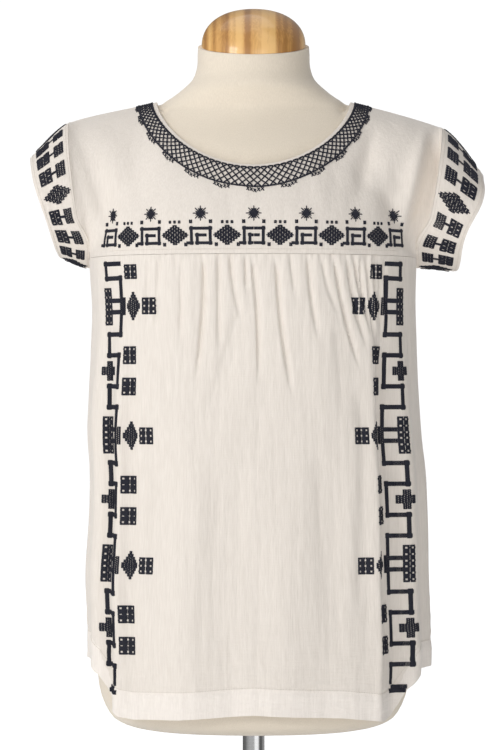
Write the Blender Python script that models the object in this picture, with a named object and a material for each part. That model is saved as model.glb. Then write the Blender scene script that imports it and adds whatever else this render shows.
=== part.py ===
"""A short-sleeve blouse on a limbless dress form with a wooden neck cap, a pole and a round foot.

All sizes are in millimetres until points are put in a mesh. Heights are measured from the underside
of the torso. The front faces -Y and left is the viewer's left, -X.
"""

import math

import bmesh
import bpy
from mathutils import Vector
from mathutils.bvhtree import BVHTree

MM = 0.001
TORSO_BOTTOM = 170.0  # above the surface that the foot stands on
CLOTH = 1.6  # wall of the blouse
SEAM = 0.3  # gap between pieces that are sewn together
MERGE = 0.05  # points nearer than this are one
THIRD = 1 / 3

# The blouse below the yoke, as level sections: height, left, right, front and back.
BODY_SECTIONS = (
    (0, 166, 172, 126, 122),
    (75, 165, 175, 126, 121),
    (105, 166, 174, 126, 120),
    (150, 168, 172, 125, 119),
    (205, 164, 171, 124, 118),
    (255, 163, 169, 123, 117),
    (290, 166, 165, 122, 116),
    (370, 162, 162, 122, 115),
    (415, 160, 161, 122, 114),
    (463, 164, 162, 121, 113),
    (540, 172, 170, 112, 106),
)
SECTION_EASE = 14.0  # reach over which a section is averaged
ROUNDNESS = 2.6  # exponent of the sections: 2 is an ellipse
GIRTH_HALF_WIDTH = 165.0  # the section on which places along the girth are measured
GIRTH_DEPTH = 121.0
YOKE_SEAM = 463.0
SIDE_FADE = 30.0  # the folds end this far from the side seams

# The neckline: half an ellipse at the front and a flatter one at the back.
NECK_HALF = 96.5
NECK_SIDE = 621.0
NECK_Y = 4.0
NECK_FRONT_DROP = 70.0
NECK_FRONT_REACH = 89.0
NECK_FRONT_POWER = 1.3  # over 1 makes the front drop rounder
NECK_CORNER = math.radians(50)  # turn of the neckline over the armhole's lower corner
NECK_FALL = 0.22  # slope of the cloth at the neckline's sides
NECK_FRONT_FALL = 0.75  # how much steeper it is at the front
NECK_BACK_FALL = 0.35
NECK_FALL_POWER = 1.2
NECK_BACK_DROP = 12.0
NECK_BACK_REACH = 66.0
NECK_FULLNESS = 0.8  # under 1 makes the neckline squarer than an ellipse, seen from the top
BINDING_WIDTH = 4.0
BINDING_THICK = 2.0
BINDING_EDGE = 0.6  # depth of its rounded edge
BINDING_ALLOWANCE = 0.4  # more room for the torso's flat faces under the binding

# The armholes and cuffs of each side, -1 is left.
ARMHOLE_BOTTOM = 455.0
CORNER_GAP = 1.0  # between the yoke and the front panel where they meet the sleeve
CORNER_SWING = 72.0  # degrees
ARMHOLE_REACH = 0.22  # length of the yoke's bend at the armhole, as a share of its run
ARMHOLE_DEPTH = 70.0
ARMHOLE_EASE = 40.0  # height over which the armhole leaves the body for the shoulder
ARMHOLE_STEP = 0.02  # turn over which the armhole's direction is measured
ARMHOLE_POWER = 0.8  # how soon the armhole leaves the side on its way up
WALL_OUT = (0.35, 0.65, 1.5)  # how far the wall faces outwards: at the top, more below, and how soon
WALL_UP = 0.93
WALL_ROUND = 0.85
SLEEVE_ROUND = 0.05  # how far the sleeve spreads as it leaves the armhole
SLEEVE_FALL = 0.08
SLEEVE_TOP_FALL = 0.5
SEAM_LEAN = 0.08  # how far the yoke leans out as it reaches its seam
CORNER_POWER = 6  # over how little of the seam its columns turn into the armhole's
REACH_POWER = 4
SIDE_COLUMNS = ("side", "top", "tip", "cuff_top", "cuff_top_out", "cuff_low", "cuff_low_out")
SIDES = (
    (-1, 600.0, 184.0, 565.0, 222.0, 466.0, 194.0),
    (1, 595.0, 187.0, 550.0, 227.0, 451.5, 203.0),
)
CUFF_DEPTH = 66.0
CUFF_WAVE = {-1: 1.0, 1: 5.0}  # how far the cuff's edge swings in and out

# Gathers below the yoke seam: place along the seam, place of the lower end, length and depth.
GATHER_COLUMNS = ("place", "foot", "length", "depth")
GATHERS = (
    (-84, -88, 45, 1.4),
    (-74, -78, 60, 1.8),
    (-62, -66, 80, 1.6),
    (-50, -56, 135, 2.8),
    (-34, -36, 105, 2.4),
    (-21, -22, 70, 1.8),
    (-8, -9, 85, 2.0),
    (4, 4, 70, 1.8),
    (22, 24, 85, 2.2),
    (36, 41, 60, 1.6),
    (52, 63, 110, 2.6),
    (65, 80, 80, 2.0),
    (76, 96, 130, 2.8),
    (88, 106, 105, 2.2),
    (99, 114, 100, 2.2),
    (110, 123, 85, 2.0),
    (121, 131, 85, 1.8),
)
GATHER_SHARE = 0.36  # a crease's half width, as a share of the distance to its neighbours
GATHER_FOOT_SHARE = 0.6  # the same at its lower end
GATHER_SPREAD = 10.0  # least distance to a gather's neighbours
GATHER_PUFF = 1.2  # how far the cloth stands out between the gathers
GATHER_EDGE = 12.0  # the puff goes this far past the outer gathers
GATHER_FADE = 20.0
GATHER_FALL = 130.0  # height over which the puff ends
GATHER_COLUMN_STEP = 11.0  # gathers further apart than this have a fourth column

# Long folds: place at the top and bottom, heights between which they run, half width and lift.
FOLD_COLUMNS = ("top_place", "low_place", "top", "low", "half_width", "lift")
FOLD_RISE = 0.4  # share of its run over which a fold deepens
FRONT_FOLDS = (
    (117, 119, 420, 20, 9, 4.0),
    (138, 140, 430, 20, 13, -10.0),
    (163, 164, 400, 40, 10, 3.5),
    (188, 186, 360, 60, 12, -4.0),
    (212, 210, 380, 60, 11, 2.5),
    (-134, -136, 420, 20, 9, 4.5),
    (-153, -154, 440, 40, 10, -8.0),
    (-176, -174, 420, 60, 12, 3.0),
    (-200, -198, 330, 60, 13, -3.0),
    (-96, -104, 300, 0, 17, -2.5),
    (-60, -66, 330, 0, 20, 2.5),
    (-18, -24, 300, 0, 19, -2.5),
    (28, 22, 280, 0, 20, 2.0),
    (70, 66, 320, 0, 17, -2.5),
)
BACK_FOLDS = (
    (-205, -208, 430, 40, 14, -4.0),
    (-165, -168, 420, 0, 17, 4.5),
    (-118, -124, 440, 0, 20, -5.0),
    (-66, -74, 430, 0, 22, 5.0),
    (-14, -20, 400, 0, 20, -5.0),
    (38, 36, 430, 0, 21, 5.0),
    (86, 92, 440, 0, 19, -5.0),
    (132, 138, 420, 0, 18, 4.5),
    (176, 180, 430, 0, 15, -4.0),
    (210, 210, 400, 40, 12, 3.0),
)
# Folds of the yoke as seen from the front: their two ends, half width and lift.
DIAGONAL_COLUMNS = ("x0", "height0", "x1", "height1", "half_width", "lift")
DIAGONAL_START = 0.15  # share of its lift that a diagonal fold starts with
DIAGONAL_LOW_FADE = 30.0  # above the yoke seam
DIAGONAL_TOP_FADE = 20.0
DIAGONAL_TOP = 22.0  # below the neckline's sides
YOKE_FOLDS = (
    (172, 572, 142, 484, 12, -7.0),
    (146, 590, 112, 486, 14, 2.5),
    (118, 590, 92, 480, 10, -2.5),
    (-163, 565, -140, 480, 12, -3.0),
    (-140, 590, -118, 480, 14, 1.5),
)
# Height of the hem at shares of the way from the centre to each side.
FRONT_HEM = (
    (-1.0, 70),
    (-0.78, 68),
    (-0.7, 57),
    (-0.655, 40),
    (-0.61, 27),
    (-0.56, 21),
    (-0.5, 19),
    (-0.3, 21),
    (0.0, 26),
    (0.35, 22),
    (0.52, 17),
    (0.585, 20),
    (0.615, 29),
    (0.645, 44),
    (0.7, 56),
    (0.76, 61),
    (1.0, 62),
)
BACK_HEM = (
    (-1.0, 70),
    (-0.7, 68),
    (-0.5, 56),
    (0.0, 46),
    (0.5, 54),
    (0.7, 61),
    (1.0, 62),
)

# The torso of the form, as level sections.
TORSO_COLUMNS = ("height", "half_width", "front", "back", "roundness")
TORSO_SECTIONS = (
    (0, 118, 82, 76, 2.3),
    (4, 132, 95, 88, 2.3),
    (14, 144, 106, 98, 2.4),
    (40, 154, 113, 106, 2.4),
    (80, 155, 112, 109, 2.4),
    (130, 149, 106, 107, 2.3),
    (185, 136, 99, 99, 2.2),
    (240, 127, 95, 92, 2.2),
    (290, 129, 98, 90, 2.2),
    (340, 139, 106, 94, 2.3),
    (390, 149, 112, 99, 2.4),
    (430, 153, 112, 102, 2.4),
    (465, 151, 104, 99, 2.3),
    (495, 150, 97, 97, 2.2),
    (520, 150, 90, 94, 2.1),
    (545, 150, 82, 90, 2.05),
    (565, 151, 75, 85, 2.0),
    (580, 150, 65, 79, 1.95),
    (590, 147, 58, 74, 1.75),
    (598, 140, 53, 70, 1.65),
    (605, 127, 50, 66, 1.6),
    (611, 111, 49, 63, 1.6),
    (617, 96, 50, 61, 1.75),
    (624, 83, 52, 59, 1.9),
    (632, 72, 55, 58, 2.0),
    (643, 61, 54, 56, 2.0),
    (656, 56.5, 52.5, 54, 2.0),
    (668, 56, 52, 53, 2.0),
    (676, 55.5, 51.5, 52.5, 2.0),
)
TORSO_SEGMENTS = 40
EASE_PASSES = 3
CLOTH_CLEARANCE = 0.8  # from the torso to the inside of the cloth that rests on it
CLOTH_RESTS_FROM = 440.0
UNDER_CLOTH = 7.0  # how far past the cloth's edge the torso still follows it
NECK_TILT = 0.28  # rise of the neck's rim for each millimetre towards the back
NECK_TILT_FROM = 632.0
NECK_TILT_RISE = 36.0
CAP_RADIUS = 52.0
CAP_HEIGHT = 37.0
CAP_ROUNDNESS = 2.25
CAP_RINGS = 6
CAP_SEGMENTS = 36
CAP_TOP = 0.35  # share of a ring's step that the flat top leaves out

UNDERSIDE_RADIUS = 52.0  # flat face round the pole's socket
POLE_RADIUS = 11.0
SOCKET_DEPTH = 60.0
POLE_CLEARANCE = 0.3
HUB_SOCKET_FLOOR = 6.0
FOOT_RADIUS = 140.0
# Radius and height of each corner of the foot, from its underside to its socket.
FOOT_PROFILE = (
    (FOOT_RADIUS - 3, 0),
    (FOOT_RADIUS, 3),
    (FOOT_RADIUS, 6),
    (FOOT_RADIUS - 4, 9),
    (60, 12),
    (30, 15),
    (24, 20),
    (22, 34),
    (19, 37),
    (POLE_RADIUS + POLE_CLEARANCE, 37),
    (POLE_RADIUS + POLE_CLEARANCE, HUB_SOCKET_FLOOR),
)
ROUND_SEGMENTS = 36

# Rows and columns of the panels.
ARMHOLE_STEPS = 8
SEAM_STEPS = 24
CORNER_STEPS = 3
YOKE_ROWS = 6
YOKE_PASSES = 2  # smoothing passes inside the yokes' edges
FRONT_ROWS = (0.0, 0.03, 0.08, 0.15, 0.24, 0.34, 0.46, 0.6, 0.74, 0.87, 1.0)
BACK_ROWS = (0.0, 0.1, 0.22, 0.36, 0.5, 0.64, 0.78, 0.9, 1.0)
SIDE_SPACING = 11.0
SLEEVE_ROWS = 5
BINDING_SEGMENTS = 44


def mix(a, b, share):
    return a + (b - a) * share


def smooth(value):
    value = min(max(value, 0.0), 1.0)
    return value * value * (3 - 2 * value)


def look_up(table, key):
    """The values of a table's columns at a key, in straight lines between its rows."""
    if key <= table[0][0]:
        return table[0][1:]
    for low, high in zip(table, table[1:]):
        if key <= high[0]:
            share = (key - low[0]) / (high[0] - low[0])
            return tuple(mix(a, b, share) for a, b in zip(low[1:], high[1:]))
    return table[-1][1:]


def soft_look_up(table, key, reach):
    """The same, averaged over a reach each way, so that no section has a corner."""
    samples = [look_up(table, key + reach * step / 2) for step in range(-2, 3)]
    return tuple(sum(column) / len(samples) for column in zip(*samples))


def section(height):
    return soft_look_up(BODY_SECTIONS, height, SECTION_EASE)


def arc_angles(half_width, depth, count=240):
    """Angles from the centre to the side of a section, and how far along its edge each is."""
    angles = [math.pi / 2 * step / count for step in range(count + 1)]
    places = [oval(half_width, depth, ROUNDNESS, angle) for angle in angles]
    lengths = [0.0]
    for first, second in zip(places, places[1:]):
        lengths.append(lengths[-1] + math.dist(first, second))
    return list(zip(lengths, angles))


def oval(half_width, depth, roundness, angle):
    """A point of an oval's quarter, from the end of its depth to the end of its width."""
    power = 2 / roundness
    across = half_width * max(math.sin(angle), 0.0) ** power
    along = depth * max(math.cos(angle), 0.0) ** power
    return across, along


ARC = arc_angles(GIRTH_HALF_WIDTH, GIRTH_DEPTH)
HALF_GIRTH = ARC[-1][0]


def ring_point(height, place, facing):
    """A point of the body at a place along its girth. facing is -1 in front and 1 behind."""
    left, right, front, back = section(height)
    half_width = left if place < 0 else right
    depth = front if facing < 0 else back
    angle = look_up(ARC, abs(place))[0]
    across, along = oval(half_width, depth, ROUNDNESS, angle)
    return Vector((math.copysign(across, place), facing * along, height))


def ring_x(height, y, side):
    """How far out the body is at a depth, on one side."""
    left, right, front, back = section(height)
    half_width = left if side < 0 else right
    share = abs(y) / (front if y < 0 else back)
    return half_width * (1 - share**ROUNDNESS) ** (1 / ROUNDNESS)


def ring_normal(height, place, facing):
    """The level direction away from the body at a place along its girth."""
    left, right, front, back = section(height)
    half_width = left if place < 0 else right
    depth = front if facing < 0 else back
    point = ring_point(height, place, facing)
    power = ROUNDNESS - 1
    across = math.copysign((abs(point.x) / half_width) ** power / half_width, place)
    along = facing * (abs(point.y) / depth) ** power / depth
    return Vector((across, along, 0.0)).normalized()


def side_row(side):
    return dict(zip(SIDE_COLUMNS, SIDES[0] if side < 0 else SIDES[1]))


def armhole_point(side, turn, facing):
    """A point of the armhole, from its top at a turn of 0 to its bottom at a turn of pi."""
    row = side_row(side)
    middle = (row["top"] + ARMHOLE_BOTTOM) / 2
    half = (row["top"] - ARMHOLE_BOTTOM) / 2
    height = middle + half * math.cos(turn)
    y = facing * ARMHOLE_DEPTH * math.sin(turn)
    rise = (height - ARMHOLE_BOTTOM) / (2 * half)
    body = ring_x(height, y, side)
    low = ring_x(ARMHOLE_BOTTOM, 0.0, side)
    shoulder = mix(low, row["tip"], max(rise, 0.0) ** ARMHOLE_POWER)
    out = mix(body, shoulder, smooth((height - YOKE_SEAM) / ARMHOLE_EASE))
    return Vector((side * out, y, height))


def square_to(first, second, towards):
    """The direction square to two others, on the given side of them."""
    normal = first.cross(second).normalized()
    return normal if normal.dot(towards) > 0 else -normal


def armhole_body(side, turn, facing):
    """At the armhole: the seam's own direction, the way out of the body and the way into the hole."""
    before = armhole_point(side, turn - ARMHOLE_STEP, facing)
    tangent = (armhole_point(side, turn + ARMHOLE_STEP, facing) - before).normalized()
    rise = (1 + math.cos(turn)) / 2
    top, below, power = WALL_OUT
    out = top + below * (1 - rise) ** power
    up = WALL_UP * max(math.cos(turn), 0.0)
    normal = Vector((side * out, facing * WALL_ROUND * math.sin(turn), up))
    normal = (normal - tangent * normal.dot(tangent)).normalized()
    hole = Vector((side, -facing * math.sin(turn), -math.cos(turn)))
    return tangent, normal, square_to(normal, tangent, hole)


def armhole_edge(side, turn, facing):
    """A point of the armhole seam, the wall's direction there and the way into the sleeve."""
    tangent, body_normal, _ = armhole_body(side, turn, facing)
    sleeve = sleeve_way(side, turn, facing)
    round_it = Vector((0.0, facing * math.sin(turn), math.cos(turn)))
    sleeve_normal = square_to(tangent, sleeve, round_it)
    normal = (sleeve_normal + body_normal).normalized()
    point = armhole_point(side, turn, facing)
    return point, normal, square_to(normal, tangent, sleeve)


def corner_turn(side):
    """The turn of the armhole at which it crosses the yoke seam."""
    row = side_row(side)
    middle = (row["top"] + ARMHOLE_BOTTOM) / 2
    half = (row["top"] - ARMHOLE_BOTTOM) / 2
    return math.acos((YOKE_SEAM - middle) / half)


def armhole_turns(side):
    """Turns of the armhole's points, which every piece that meets there shares."""
    corner = corner_turn(side)
    above = [corner * step / ARMHOLE_STEPS for step in range(ARMHOLE_STEPS)]
    below = [mix(corner, math.pi, step / CORNER_STEPS) for step in range(CORNER_STEPS + 1)]
    return above + below


def place_under(side, turn, facing):
    """The place along the girth that lies under a turn of the armhole."""
    depth = ARMHOLE_DEPTH * math.sin(turn)
    low, high = 0.0, HALF_GIRTH
    for _ in range(40):
        middle = (low + high) / 2
        if abs(ring_point(YOKE_SEAM, side * middle, facing).y) > depth:
            low = middle
        else:
            high = middle
    return side * low


def corner_place(side, facing):
    return place_under(side, corner_turn(side), facing)


def side_places(side, facing):
    """Places from the corner of the armhole out to the side seam."""
    turns = armhole_turns(side)[ARMHOLE_STEPS:-1]
    return [place_under(side, turn, facing) for turn in turns] + [side * HALF_GIRTH]


def neck_point(turn):
    """A point of the neckline; a turn of 0 is the front centre and pi/2 the right side."""
    across, along = math.sin(turn), math.cos(turn)
    if along >= 0:
        drop = NECK_FRONT_DROP * along**NECK_FRONT_POWER
        reach = -NECK_FRONT_REACH * along**NECK_FULLNESS
    else:
        drop = NECK_BACK_DROP * abs(along)
        reach = NECK_BACK_REACH * abs(along) ** NECK_FULLNESS
    return Vector((NECK_HALF * across, NECK_Y + reach, NECK_SIDE - drop))


def neck_direction(turn):
    """The way that the cloth leaves the neckline."""
    front = max(math.cos(turn), 0.0)
    back = max(-math.cos(turn), 0.0)
    fall = NECK_FALL + NECK_FRONT_FALL * front**NECK_FALL_POWER + NECK_BACK_FALL * back
    return Vector((math.sin(turn), -math.cos(turn), -fall)).normalized()


def bend(start, start_way, end, end_way, share, end_reach=THIRD):
    """A point of a curve that leaves its start and reaches its end in the given directions."""
    length = (end - start).length
    first = start + start_way * length * THIRD
    points = (start, first, end - end_way * length * end_reach, end)
    weights = (
        (1 - share) ** 3,
        3 * share * (1 - share) ** 2,
        3 * share**2 * (1 - share),
        share**3,
    )
    return sum((point * weight for point, weight in zip(points, weights)), Vector())


def armhole_way(side, turn, facing):
    """The way that the yoke reaches the armhole: square to it at the top, along it at the corner."""
    tangent, _, into = armhole_body(side, turn, facing)
    swing = math.radians(CORNER_SWING) * smooth(turn / corner_turn(side))
    return (into * math.cos(swing) + tangent * math.sin(swing)).normalized()


def upper_columns(facing):
    """Columns from the left shoulder to the right one: where each ends, which way, and its turn."""
    columns = []
    for side in (-1, 1):
        part = []
        for step, turn in enumerate(armhole_turns(side)[:ARMHOLE_STEPS]):
            share = step / ARMHOLE_STEPS
            point, normal, out = armhole_edge(side, turn, facing)
            way = armhole_way(side, turn, facing)
            neck_turn = side * mix(math.pi / 2, NECK_CORNER, share)
            part.append((point - out * (SEAM / 2), way, neck_turn, normal, ARMHOLE_REACH))
        if side < 0:
            columns += part
            columns += seam_columns(facing)
        else:
            columns += reversed(part)
    return columns


def seam_columns(facing):
    """The columns that end at the yoke seam, from the left corner to the right one."""
    columns = []
    first, last = corner_place(-1, facing), corner_place(1, facing)
    for step in range(SEAM_STEPS + 1):
        share = step / SEAM_STEPS
        place = mix(first, last, share)
        end = ring_point(YOKE_SEAM, place, facing)
        normal = ring_normal(YOKE_SEAM, place, facing)
        if step in (0, SEAM_STEPS):
            side = -1 if step == 0 else 1
            point, normal, out = armhole_edge(side, corner_turn(side), facing)
            end = point - out * (SEAM / 2)
        columns.append(
            (
                end,
                seam_way(share, facing),
                mix(-NECK_CORNER, NECK_CORNER, share),
                normal,
                mix(THIRD, ARMHOLE_REACH, abs(2 * share - 1) ** REACH_POWER),
            )
        )
    return columns


def seam_way(share, facing):
    """The way that the yoke reaches its seam: straight down, and like the armhole at the corners."""
    side = -1 if share < 0.5 else 1
    corner = armhole_way(side, corner_turn(side), facing)
    down = Vector((0.0, facing * SEAM_LEAN, -1.0)).normalized()
    return (down + (corner - down) * abs(2 * share - 1) ** CORNER_POWER).normalized()


def neck_normal(turn):
    """The way out of the cloth at the neckline."""
    along = Vector((math.cos(turn), math.sin(turn), 0.0))
    return square_to(along, neck_direction(turn), Vector((0.0, 0.0, 1.0)))


def upper_grid(facing, first_gap, last_gap):
    """The cloth from the neckline out to the armholes and down to the yoke seam, as rows.

    Each entry is a point, its lift, and the wall's direction where the mesh must not choose it.
    """
    rows = [[] for _ in range(YOKE_ROWS + 1)]
    for end, way, neck_turn, end_normal, reach in upper_columns(facing):
        turn = neck_turn if facing < 0 else math.pi - neck_turn
        start_way = neck_direction(turn)
        start = neck_point(turn) + start_way * first_gap
        last = end + Vector((0.0, 0.0, last_gap))
        for index, row in enumerate(rows):
            point = bend(start, start_way, last, way, index / YOKE_ROWS, reach)
            normal = {0: neck_normal(turn), YOKE_ROWS: end_normal}.get(index)
            row.append((point, yoke_lift(point) if facing < 0 else 0.0, normal))
    part_shoulders(rows, facing * SEAM / 2)
    return relaxed(rows)


def relaxed(rows):
    """The same grid with its inside smoothed; its edges and the row over the seams stay."""
    points = [[entry[0] for entry in row] for row in rows]
    for _ in range(YOKE_PASSES):
        before = [list(line) for line in points]
        for row in range(1, len(rows) - 2):
            for column in range(1, len(rows[0]) - 1):
                around = before[row - 1][column] + before[row + 1][column]
                around += before[row][column - 1] + before[row][column + 1]
                points[row][column] = (before[row][column] + around / 4) / 2
    return [
        [(point, *entry[1:]) for point, entry in zip(line, row)]
        for line, row in zip(points, rows)
    ]


def part_shoulders(rows, distance):
    """Parts the front and back along the shoulder seams, with the wall square to the seam."""
    for end in (0, -1):
        column = [row[end][0] for row in rows]
        for index, row in enumerate(rows):
            point, lift, normal = row[end]
            if normal is None:
                along = column[index + 1] - column[index - 1]
                normal = square_to(along, Vector((0, 1, 0)), Vector((0, 0, 1)))
            row[end] = (point + Vector((0.0, distance, 0.0)), lift, normal)


def yoke_lift(point):
    total = 0.0
    edge = smooth((point.z - YOKE_SEAM) / DIAGONAL_LOW_FADE)
    edge *= smooth((NECK_SIDE - DIAGONAL_TOP - point.z) / DIAGONAL_TOP_FADE)
    for values in YOKE_FOLDS:
        fold = dict(zip(DIAGONAL_COLUMNS, values))
        start = Vector((fold["x0"], fold["height0"]))
        along = Vector((fold["x1"], fold["height1"])) - start
        offset = Vector((point.x, point.z)) - start
        share = min(max(offset.dot(along) / along.length_squared, 0.0), 1.0)
        away = (offset - along * share).length / fold["half_width"]
        swell = math.sin(math.pi * mix(DIAGONAL_START, 1.0, share))
        total += fold["lift"] * math.exp(-away * away) * swell
    return total * edge


def fold_lift(table, place, height):
    """How far the long folds move the cloth out at a place."""
    total = 0.0
    for values in table:
        fold = dict(zip(FOLD_COLUMNS, values))
        share = (fold["top"] - height) / (fold["top"] - fold["low"])
        centre = mix(fold["top_place"], fold["low_place"], min(max(share, 0.0), 1.0))
        away = (place - centre) / fold["half_width"]
        total += fold["lift"] * math.exp(-away * away) * smooth(share / FOLD_RISE)
    return total


def gather_lift(place, height):
    """How far the gathers move the cloth out at a place."""
    total = 0.0
    below = YOKE_SEAM - height
    places = [row[0] for row in GATHERS]
    for index, values in enumerate(GATHERS):
        gather = dict(zip(GATHER_COLUMNS, values))
        near = places[max(index - 1, 0)], places[min(index + 1, len(places) - 1)]
        spread = max((near[1] - near[0]) / 2, GATHER_SPREAD)
        share = min(below / gather["length"], 1.0)
        centre = mix(gather["place"], gather["foot"], share)
        away = (place - centre) / (spread * mix(GATHER_SHARE, GATHER_FOOT_SHARE, share))
        total -= gather["depth"] * math.exp(-away * away) * (1 - smooth(share))
    first, last = places[0] - GATHER_EDGE, places[-1] + GATHER_EDGE
    inside = smooth((place - first) / GATHER_FADE) * smooth((last - place) / GATHER_FADE)
    return total + GATHER_PUFF * inside * (1 - smooth(below / GATHER_FALL))


def front_places():
    """Places of the front panel's columns: four to a gather, and wider steps at the sides."""
    places = []
    valleys = [row[0] for row in GATHERS]
    for first, second in zip(valleys, valleys[1:]):
        steps = 4 if second - first > GATHER_COLUMN_STEP else 3
        places += [mix(first, second, step / steps) for step in range(steps)]
    places.append(valleys[-1])
    left, right = side_places(-1, -1), side_places(1, -1)
    left_steps = spaced(left[0], places[0])[:-1]
    right_steps = spaced(places[-1], right[0])[1:]
    return left[:0:-1] + left_steps + places + right_steps + right[1:]


def back_places():
    left, right = side_places(-1, 1), side_places(1, 1)
    middle = [mix(left[0], right[0], step / SEAM_STEPS) for step in range(SEAM_STEPS + 1)]
    return left[:0:-1] + middle + right[1:]


def spaced(first, last):
    count = max(round(abs(last - first) / SIDE_SPACING), 1)
    return [mix(first, last, step / count) for step in range(count + 1)]


def top_turn(place, facing):
    """The armhole's turn over a place near the side, or None where the yoke seam is over it."""
    side = -1 if place < 0 else 1
    corner = corner_turn(side)
    y = abs(ring_point(YOKE_SEAM, place, facing).y)
    if y > ARMHOLE_DEPTH * math.sin(corner) + 0.01:
        return None
    turn = math.pi - math.asin(min(y / ARMHOLE_DEPTH, 1.0))
    return min(armhole_turns(side), key=lambda shared: abs(shared - turn))


def body_grid(places, row_shares, facing, top_gap, folds, hem, gathered):
    """The cloth from the yoke seam and armholes down to the hem, as rows."""
    rows = []
    for share in row_shares:
        row = []
        for place in places:
            side = -1 if place < 0 else 1
            edge_turn = top_turn(place, facing)
            top = YOKE_SEAM - top_gap
            if edge_turn is not None:
                edge, edge_normal, out = armhole_edge(side, edge_turn, facing)
                edge -= out * (SEAM / 2)
                top = edge.z
            low = look_up(hem, place / HALF_GIRTH)[0]
            height = mix(top, low, share)
            lift = fold_lift(folds, place, height)
            if gathered:
                lift += gather_lift(place, height)
            lift *= smooth((HALF_GIRTH - abs(place)) / SIDE_FADE)
            point = ring_point(height, place, facing)
            normal = ring_normal(height, place, facing) if share == 0 else None
            if abs(place) > HALF_GIRTH - 0.01:
                point.y += facing * SEAM / 2
                normal = Vector((side, 0.0, 0.0))
            if share == 0 and edge_turn is not None:
                point, normal = edge, edge_normal
                if abs(place) > HALF_GIRTH - 0.01:
                    point.y += facing * SEAM / 2
                elif edge_turn == corner_turn(side) and top_gap > 0:
                    point.z -= CORNER_GAP
            row.append((point, lift, normal))
        rows.append(row)
    return rows


def grid_mesh(grids, closed=False):
    """One surface of points from grids that share edges, each point with its lift."""
    mesh = bmesh.new()
    lift = mesh.verts.layers.float.new("lift")
    wall = mesh.verts.layers.float_vector.new("wall")
    for rows in grids:
        made = []
        for row in rows:
            line = []
            for point, amount, normal in row:
                vertex = mesh.verts.new(point)
                vertex[lift] = amount
                vertex[wall] = normal or Vector()
                line.append(vertex)
            made.append(line)
        for upper, lower in zip(made, made[1:]):
            count = len(upper)
            for index in range(count if closed else count - 1):
                after = (index + 1) % count
                mesh.faces.new((upper[index], upper[after], lower[after], lower[index]))
    bmesh.ops.remove_doubles(mesh, verts=mesh.verts, dist=MERGE)
    bmesh.ops.recalc_face_normals(mesh, faces=mesh.faces)
    mesh.normal_update()
    return mesh


def faces_out(mesh):
    """Turns the surface so that its normals leave the middle of the part."""
    centre = Vector((0.0, 0.0, 420.0))
    total = sum((face.calc_center_median() - centre).dot(face.normal) for face in mesh.faces)
    if total < 0:
        bmesh.ops.reverse_faces(mesh, faces=mesh.faces)
        mesh.normal_update()


def shell(mesh, thickness):
    """Walls of a thickness under a surface that its lifts have moved: points and faces."""
    lift = mesh.verts.layers.float["lift"]
    wall = mesh.verts.layers.float_vector["wall"]
    mesh.verts.index_update()
    ways = [
        vertex[wall] if vertex[wall].length > 0.5 else vertex.normal for vertex in mesh.verts
    ]
    outer = [vertex.co + way * vertex[lift] for way, vertex in zip(ways, mesh.verts)]
    inner = [point - way * thickness for point, way in zip(outer, ways)]
    count = len(outer)
    faces = []
    for face in mesh.faces:
        loop = [vertex.index for vertex in face.verts]
        faces.append(loop)
        faces.append([index + count for index in reversed(loop)])
    for edge in mesh.edges:
        if len(edge.link_faces) != 1:
            continue
        loop = [vertex.index for vertex in edge.link_faces[0].verts]
        first, second = edge.verts[0].index, edge.verts[1].index
        if loop[(loop.index(first) + 1) % len(loop)] != second:
            first, second = second, first
        faces.append([second, first, first + count, second + count])
    inner_faces = faces[1 : 2 * len(mesh.faces) : 2]
    return outer + inner, faces, inner_faces


def material(name, colour, roughness, metallic=0.0):
    made = bpy.data.materials.new(name)
    made.use_nodes = True
    shader = made.node_tree.nodes["Principled BSDF"]
    shader.inputs["Base Color"].default_value = (*colour, 1.0)
    shader.inputs["Roughness"].default_value = roughness
    shader.inputs["Metallic"].default_value = metallic
    made.diffuse_color = (*colour, 1.0)
    return made


def add_object(name, points, faces, finish):
    """One closed object from points above the torso's underside, in millimetres."""
    mesh = bpy.data.meshes.new(name)
    moved = [(point[0] * MM, point[1] * MM, (point[2] + TORSO_BOTTOM) * MM) for point in points]
    mesh.from_pydata(moved, [], faces)
    mesh.materials.append(finish)
    mesh.shade_smooth()
    mesh.set_sharp_from_angle(angle=math.radians(50))
    made = bpy.data.objects.new(name, mesh)
    bpy.context.scene.collection.objects.link(made)
    return made


def cloth_piece(name, grids, finish, closed=False):
    """One sewn piece; its inner faces are returned so that the form can fit under them."""
    mesh = grid_mesh(grids, closed)
    faces_out(mesh)
    points, faces, inner_faces = shell(mesh, CLOTH)
    mesh.free()
    add_object(name, points, faces, finish)
    return points, inner_faces


def sleeve_grid(side):
    row = side_row(side)
    rows = [[] for _ in range(SLEEVE_ROWS + 1)]
    turns = armhole_turns(side)
    around = [(turn, -1) for turn in turns] + [(turn, 1) for turn in turns[-2:0:-1]]
    for turn, facing in around:
        start_way = sleeve_way(side, turn, facing)
        point, normal, out = armhole_edge(side, turn, facing)
        start = point + out * (SEAM / 2)
        end = cuff_point(row, turn, facing)
        end_way = (end - start).normalized()
        for index, line in enumerate(rows):
            place = bend(start, start_way, end, end_way, index / SLEEVE_ROWS)
            line.append((place, 0.0, normal if index == 0 else None))
    return rows


def sleeve_way(side, turn, facing):
    """The way that the sleeve leaves the armhole: with the shoulder, and outwards below."""
    rise = (1 + math.cos(turn)) / 2
    fall = SLEEVE_FALL + SLEEVE_TOP_FALL * rise
    return Vector((side, facing * SLEEVE_ROUND * math.sin(turn), -fall)).normalized()


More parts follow.
